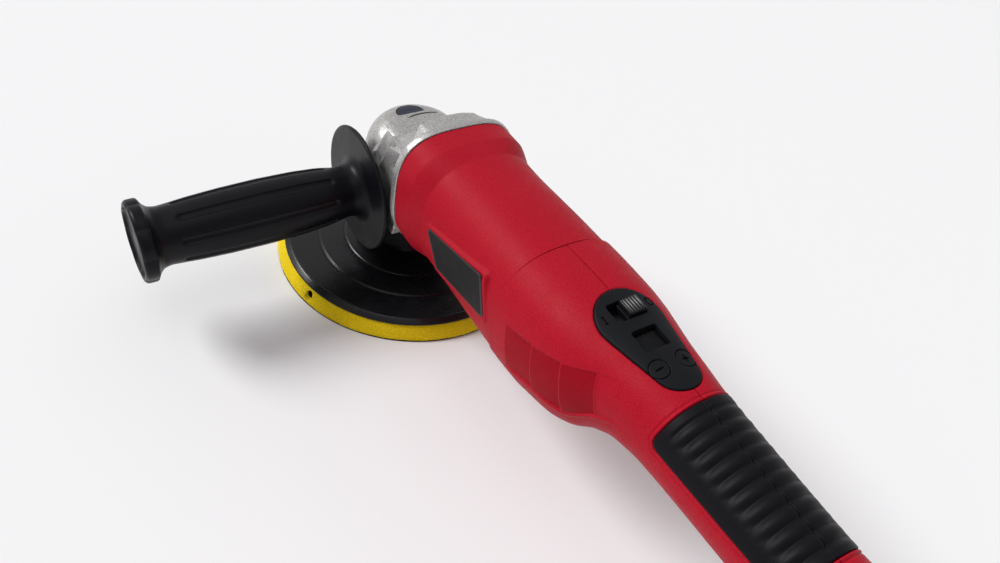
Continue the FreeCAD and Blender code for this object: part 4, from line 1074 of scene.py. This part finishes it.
def build_seam_shade_strips():
    """Near-black strips just under the surface, where the shells meet: painted shade that darkens the seams."""
    corners = ((-150.6, -0.9), (-153.4, -0.9), (-153.4, -1.9), (-150.6, -1.9))
    loops = [body_loop(COLLAR_STATIONS, y, growth, 240) for y, growth in corners]
    finish_piece(closed_ring("seam_shade_ring", loops, 30), "housing", ink_and_shade_plastic, "black_plastic")
    for k, (start, end) in enumerate(((-154.0, -188.0), (-252.5, -376.0))):
        sections = []
        for y in np.linspace(start, end, 60):
            height = float(body_top(REAR_STATIONS, 0.0, y, -1.2 if y > -256 else -2.6))
            low = height - 0.9
            sections.append([(-0.9, y, low), (-0.9, y, height), (0.9, y, height), (0.9, y, low)])
        finish_piece(hull_piece(f"seam_shade_strip_{k}", sections), "housing", ink_and_shade_plastic, "black_plastic")


def build_grip(side):
    """Rubber overmould with soft transverse waves that die out above its lower edge."""
    low, high = GRIP_SPAN
    y_values = padded_to(np.arange(high + 0.3, low - 0.31, -0.36), 4)
    angles = np.radians(padded_to(np.linspace(90.0, 10.5, 112), 4))

    def growth(y, x, z):
        inside = -grip_distance(y, z)
        phase = (high - 5.0 - y) / GRIP_PITCH
        wave = 0.5 - 0.5 * np.cos(2 * math.pi * phase)
        valley = GRIP_WAVE * (1 - wave ** 0.5)
        start = smoothstep(3.6, 6.4, high - y) * smoothstep(1.2, 4.0, y - low)
        point = 4.6 + 2.4 * np.abs(2 * (phase % 1.0) - 1)
        sides = smoothstep(0.0, 6.5, z - GRIP_LOWER_Z - point)
        seam = 0.35 * np.exp(-(x / 0.9) ** 2)
        edge = rounded_drop(np.maximum(inside - 0.02, 0.0), 0.9)
        sunk = 1.2 * smoothstep(0.06, -0.25, inside)
        return 0.5 - valley * start * sides - seam - edge - sunk

    outer = sheet_rings(REAR_STATIONS, y_values, angles, growth)
    shift_from_seam(outer, 0.2, side)
    inner = sheet_rings(REAR_STATIONS, y_values[::4], angles[::4], lambda y, x, z: x * 0 - 2.0)
    shift_from_seam(inner, 0.2, side)
    name = "grip_left" if side < 0 else "grip_right"
    obj = shell_object(name + "_looks", outer, inner, 4)
    finish_piece(obj, "housing", rubber, "grip_rubber", name)


# ---------------------------------------------------------------- controls
def panel_height(x, y, growth=PANEL_PROUD):
    return body_top(REAR_STATIONS, x, y, growth)


def build_control_panel():
    """Teardrop panel with openings for the switch, the window and both buttons."""
    width, length, slot_y = SWITCH_SLOT
    wide, long, window_y = WINDOW_SLOT
    hole = BUTTON_RADIUS + 0.34
    openings = [((0, slot_y), lambda x, y: box_distance(x, y - slot_y, width / 2, length / 2, 1.6)),
                ((0, window_y), lambda x, y: box_distance(x, y - window_y, wide / 2, long / 2, 1.3)),
                ((BUTTON_X, BUTTON_Y), lambda x, y: np.hypot(x - BUTTON_X, y - BUTTON_Y) - hole),
                ((-BUTTON_X, BUTTON_Y), lambda x, y: np.hypot(x + BUTTON_X, y - BUTTON_Y) - hole)]

    def top(x, y, distance):
        height = panel_height(x, y) - rounded_drop(-distance, 0.8)
        for _, opening in openings:
            height = height - rounded_drop(np.maximum(opening(x, y), 0.0), 0.4)
        return height

    obj = capped_piece("control_panel_looks", teardrop_distance, PANEL_CENTRE, top, 128.4, 480, 0.32)
    carve(obj, *[outline_prism("cut", star_outline(opening, centre, 144, 20), 120.0, 140.0)
                 for centre, opening in openings])
    set_smooth(obj, 40)
    finish_piece(obj, "housing", panel_plastic, "black_plastic", "control_panel")


def build_panel_bed():
    """Dark plate under the switch slot and the window."""
    bed = box_prism("panel_bed", (-10.5, 10.5), (-228.6, -194.6), (127.2, 128.3))
    finish_piece(bed, "housing", inner_plastic, "black_plastic")


def build_switch_knob():
    """Slider with a low plate and a raised thumb pad that has fine cross ribs."""
    width, length, slot_y = SWITCH_SLOT
    foot_z = 129.9
    plate_z = 132.9
    x1 = width / 2 - 0.6
    x0 = x1 - (width - 6.0 - 1.2)
    x = np.linspace(x0, x1, 141)
    from_end = np.minimum(x - x0, x1 - x)
    ribs = 0.5 * (0.5 + 0.5 * np.cos(2 * math.pi * (x - x0) / 1.75)) * smoothstep(0.9, 1.5, from_end)
    crown = 0.5 * ((x - x0) / (x1 - x0)) ** 2
    raised = 4.0 + crown - ribs - rounded_drop(np.maximum(from_end - 0.5, 0.0), 0.8)
    crest = plate_z + np.where(from_end > 0.5, raised, 0.0)
    half = length / 2 - 0.4
    tops = []
    for inset, share in ((0.0, 0.0), (0.15, 0.0), (0.6, 0.0), (0.62, 0.86), (0.8, 0.95), (1.2, 1.0)):
        low = np.minimum(crest, plate_z - rounded_drop(inset, 0.3))
        tops.append((half - inset, low + (crest - low) * share))
    sections = []
    for reach, top in [(-reach, top) for reach, top in tops] + tops[::-1]:
        y = slot_y + reach
        sections.append([(x0, y, foot_z)] + [(a, y, b) for a, b in zip(x, top)] + [(x1, y, foot_z)])
    obj = hull_piece("switch_knob_looks", sections)
    set_smooth(obj, 40)
    finish_piece(obj, "switch", knob_plastic, "button_plastic", "switch_knob")


def build_buttons():
    """Minus and plus buttons with their printed signs."""
    for side, body in ((-1, "minus"), (1, "plus")):
        x_middle = side * BUTTON_X

        def outline(x, y):
            return np.hypot(x - x_middle, y - BUTTON_Y) - BUTTON_RADIUS

        def top(x, y, distance):
            dish = 0.12 * np.clip(-distance / BUTTON_RADIUS, 0, 1)
            return panel_height(x, y, 0.4) - rounded_drop(-distance, 0.45) - dish

        obj = capped_piece(body + "_button_looks", outline, (x_middle, BUTTON_Y), top, 124.2, 144, 0.3, 8, 60)
        finish_piece(obj, body, panel_plastic, "button_plastic", body + "_button")
        bars = [(2.1, 0.38)] if side < 0 else [(2.1, 0.38), (0.38, 2.1)]
        for k, (half_x, half_y) in enumerate(bars):
            mark = surface_mark(f"{body}_sign_{k}", half_x, half_y, (x_middle, BUTTON_Y), 0.42)
            finish_piece(mark, body, ink_and_shade_plastic, "button_plastic")


def surface_mark(name, half_x, half_y, centre, growth):
    """Flat printed bar that follows the panel's crown."""
    def outline(x, y):
        return box_distance(x - centre[0], y - centre[1], half_x, half_y, min(half_x, half_y) * 0.5)

    def top(x, y, distance):
        return panel_height(x, y, growth)

    return capped_piece(name, outline, centre, top, panel_height(centre[0], centre[1], -0.4), 48, 0.4, 6)


def build_marks():
    """I and O beside the switch."""
    y = SWITCH_SLOT[2]
    bars = [("mark_on_stem", 0.3, 2.2, (-13.8, y - 1.0)), ("mark_on_top", 0.9, 0.26, (-13.8, y + 1.1)),
            ("mark_on_foot", 0.9, 0.26, (-13.8, y - 3.1))]
    for name, half_x, half_y, centre in bars:
        mark = surface_mark(name, half_x, half_y, centre, PANEL_PROUD + 0.05)
        finish_piece(mark, "housing", ink_and_shade_plastic, "black_plastic")
    turn = full_turn(96)
    loops = []
    for radius, growth in ((2.7, -0.3), (2.7, PANEL_PROUD + 0.06), (2.0, PANEL_PROUD + 0.06), (2.0, -0.3)):
        ring_x = 14.6 + radius * 0.82 * np.cos(turn)
        ring_y = y + 0.5 + radius * np.sin(turn)
        loops.append(np.stack([ring_x, ring_y, panel_height(ring_x, ring_y, growth)], -1))
    finish_piece(closed_ring("mark_off", loops), "housing", ink_and_shade_plastic, "black_plastic")


def build_display():
    """Smoked window with one dim seven-segment digit behind it."""
    width, length, y_middle = WINDOW_SLOT
    block_top = 128.7

    def outline(x, y):
        return box_distance(x, y - y_middle, width / 2 - 0.1, length / 2 - 0.1, 1.2)

    def top(x, y, distance):
        return 131.2 - rounded_drop(-distance, 0.25)

    glass = capped_piece("display_window_looks", outline, (0, y_middle), top, 129.9, 160, 0.8, 14)
    finish_piece(glass, "housing", SLOT_FINISHES["window"], "window", "display_window")
    slab = box_prism("display_block", (-6.2, 4.6), (y_middle - 5.2, y_middle + 4.6), (128.35, block_top))
    finish_piece(slab, "housing", display_plastic, "button_plastic")
    level = [(0, y, 1.7, 0.32) for y in (3.0, 0.0, -3.0)]
    upright = [(x, y, 0.32, 1.25) for y in (1.5, -1.5) for x in (-2.0, 2.0)]
    for k, (x, y, half_x, half_y) in enumerate(level + upright):
        y_span = (y_middle + y - half_y, y_middle + y + half_y)
        bar = box_prism(f"display_segment_{k}", (x - half_x, x + half_x), y_span, (block_top, block_top + 0.75))
        finish_piece(bar, "housing", mark_plastic, "button_plastic")


# ---------------------------------------------------------------- side handle
def build_side_handle():
    """Guard, fluted grip and flared end, one moulding round the handle axis."""
    guard = [(0, -40.2, 0), (8.0, -40.2, 0.3), (39.4, -40.2, 0.9), (40.5, -41.4, 0.7), (40.4, -42.6, 0.6),
             (39.2, -43.2, 0.8), (22.0, -43.2, 1.6), (19.4, -44.6, 1.2), (17.2, -46.6, 1.6), (16.0, -50.5, 2.0)]
    grip = [(16.4, -56, 2.0), (18.2, -66, 3.0), (19.4, -82, 3.0), (19.9, -104, 3.0), (19.5, -128, 3.0),
            (18.6, -146, 3.0), (17.6, -158, 2.0), (17.3, -163, 1.5), (18.2, -167.2, 1.2), (20.6, -169.8, 1.2)]
    end = [(24.2, -171.6, 0.9), (24.5, -173.0, 0.6), (24.4, -177.6, 0.9), (23.0, HANDLE_END_X, 0.6),
           (21.2, HANDLE_END_X, 0.5), (20.2, -177.3, 0.8), (7.0, -176.6, 1.0), (6.2, -177.4, 0.5),
           (0, -177.6, 0)]
    outline = dense_profile(rounded_profile(guard + grip + end, 6), 0.95)

    def relief(radius, along, turn):
        sink = np.zeros(np.broadcast(radius, turn).shape)
        on_grip = (along < -52) & (along > -164) & (radius > 14)
        for k in range(8):
            apart = angle_apart(turn, math.radians(22.5 + 45 * k)) * 19.0
            away = np.hypot(apart, np.maximum(np.abs(along + 108.5) - 44.5, 0.0))
            groove = 1.35 * np.sqrt(np.clip(1 - (away / 2.5) ** 2, 0, 1))
            groove += 0.12 * np.exp(-((away - 2.9) / 0.5) ** 2)
            sink = sink - np.where(on_grip, groove, 0.0)
        seam = np.exp(-((turn - math.pi / 2 - 0.25) * 19.0 / 0.22) ** 2)
        sink = sink + np.where(on_grip, 0.12 * seam, 0.0)
        flat = 1 - np.cos((turn + math.pi / 16) % (math.pi / 4) - math.pi / 8)
        on_end = smoothstep(-170.0, -172.0, along) * (radius > 19)
        return sink - 13.2 * flat * on_end

    obj = revolved("side_handle_looks", outline, "x", (0, 0, HANDLE_Z), 400, relief, 45)
    carve(obj, cylinder_piece("cut", STUD_RADIUS, -76.5, -30, "x", (0, 0, HANDLE_Z), 64))
    set_smooth(obj, 45)
    finish_piece(obj, "housing", handle_plastic, "black_plastic", "side_handle")


def build_cord_inlet():
    """Rubber grommet of the lead, with a groove that the shells grip."""
    corners = [(4.2, -376.0, 0), (4.2, -380, 0.2), (8.4, -380, 0.8), (9.0, -378.05, 0.3), (6.9, -378.05, 0.1),
               (6.9, -374.4, 0.1), (9.0, -374.4, 0.3), (9.0, -372.4, 0.3), (4.2, -372.4, 0.2)]
    obj = ring_piece("cord_inlet_looks", corners, "y", (0, 0, 107), 120)
    finish_piece(obj, "housing", rubber, "grip_rubber", "cord_inlet")


# ---------------------------------------------------------------- the whole
build_hook_layer()
build_foam()
build_backing_plate()
build_skirt()
build_gear_housing()
build_flange_ring()
build_lock_button()
build_motor_housing()
build_name_plate()
for hand in (-1, 1):
    build_rear_shell(hand)
    build_grip(hand)
build_seam_shade_strips()
build_control_panel()
build_panel_bed()
build_switch_knob()
build_buttons()
build_marks()
build_display()
build_side_handle()
build_cord_inlet()

slot_of = {part["node"]: part["material_slot"] for part in frame["record"]["subparts"]}
for node, obj in frame["nodes"].items():
    obj.data.materials.clear()
    obj.data.materials.append(SLOT_FINISHES[slot_of[node]])


# ---------------------------------------------------------------- floor, lights and camera
def build_floor():
    half = 12.0
    mesh = bpy.data.meshes.new("floor")
    corners = [(-half, -half, 0), (half, -half, 0), (half, half, 0), (-half, half, 0)]
    mesh.from_pydata(corners, [], [(0, 1, 2, 3)])
    floor = add_object("floor", mesh)
    paper = Finish("floor_paper", linear(243, 243, 244), 0.8, 0.0, 0.2)
    paper.bump(paper.noise(30.0, 3.0), 0.03)
    floor.data.materials.append(paper.material)


def add_lamp(name, kind, place, target, power):
    """Lamp at a place that shines at a target."""
    data = bpy.data.lights.new(name, kind)
    data.energy = power
    lamp = bpy.data.objects.new(name, data)
    bpy.context.scene.collection.objects.link(lamp)
    lamp.location = place
    lamp.rotation_euler = (Vector(target) - Vector(place)).to_track_quat("-Z", "Y").to_euler()
    return data


def build_studio():
    """Pale surroundings that are darker on one side, a soft distant lamp and a wide one overhead."""
    bpy.context.scene.view_settings.view_transform = "Standard"
    world = bpy.data.worlds.new("studio")
    bpy.context.scene.world = world
    world.use_nodes = True
    nodes = world.node_tree.nodes
    sky = nodes["Background"]
    sky.inputs["Strength"].default_value = 0.95
    mapping = nodes.new("ShaderNodeMapping")
    mapping.inputs["Rotation"].default_value = (0.0, 0.0, math.radians(-45))
    mapping.inputs["Scale"].default_value = (0.5, 0.5, 0.5)
    mapping.inputs["Location"].default_value = (0.5, 0.0, 0.0)
    gradient = nodes.new("ShaderNodeTexGradient")
    ramp = nodes.new("ShaderNodeValToRGB")
    ramp.color_ramp.elements[0].color = (0.3, 0.3, 0.31, 1.0)
    ramp.color_ramp.elements[1].color = (0.66, 0.66, 0.66, 1.0)
    coordinates = nodes.new("ShaderNodeTexCoord")
    for start, end in ((coordinates.outputs["Generated"], mapping.inputs["Vector"]),
                       (mapping.outputs["Vector"], gradient.inputs["Vector"]),
                       (gradient.outputs["Fac"], ramp.inputs["Fac"]),
                       (ramp.outputs["Color"], sky.inputs["Color"])):
        world.node_tree.links.new(start, end)
    key = add_lamp("key", "SUN", (-1.04, 1.04, 1.36), (0, 0, 0), 2.3)
    key.angle = math.radians(24)
    top = add_lamp("top", "AREA", (-0.3, -0.5, 2.6), (0, -0.12, 0.08), 6.0)
    top.shape = "SQUARE"
    top.size = 1.6


def build_camera():
    """The photographer's place and lens, solved from the outlines of the pad, the guard and the casing."""
    data = bpy.data.cameras.new("camera")
    data.lens = 30.4285
    data.sensor_width = 36.0
    data.clip_end = 20.0
    camera = bpy.data.objects.new("camera", data)
    bpy.context.scene.collection.objects.link(camera)
    camera.location = (-0.23186, -0.38133, 0.41166)
    camera.rotation_euler = [math.radians(angle) for angle in (45.261, -8.818, -31.581)]
    bpy.context.scene.camera = camera


build_floor()
build_studio()
build_camera()
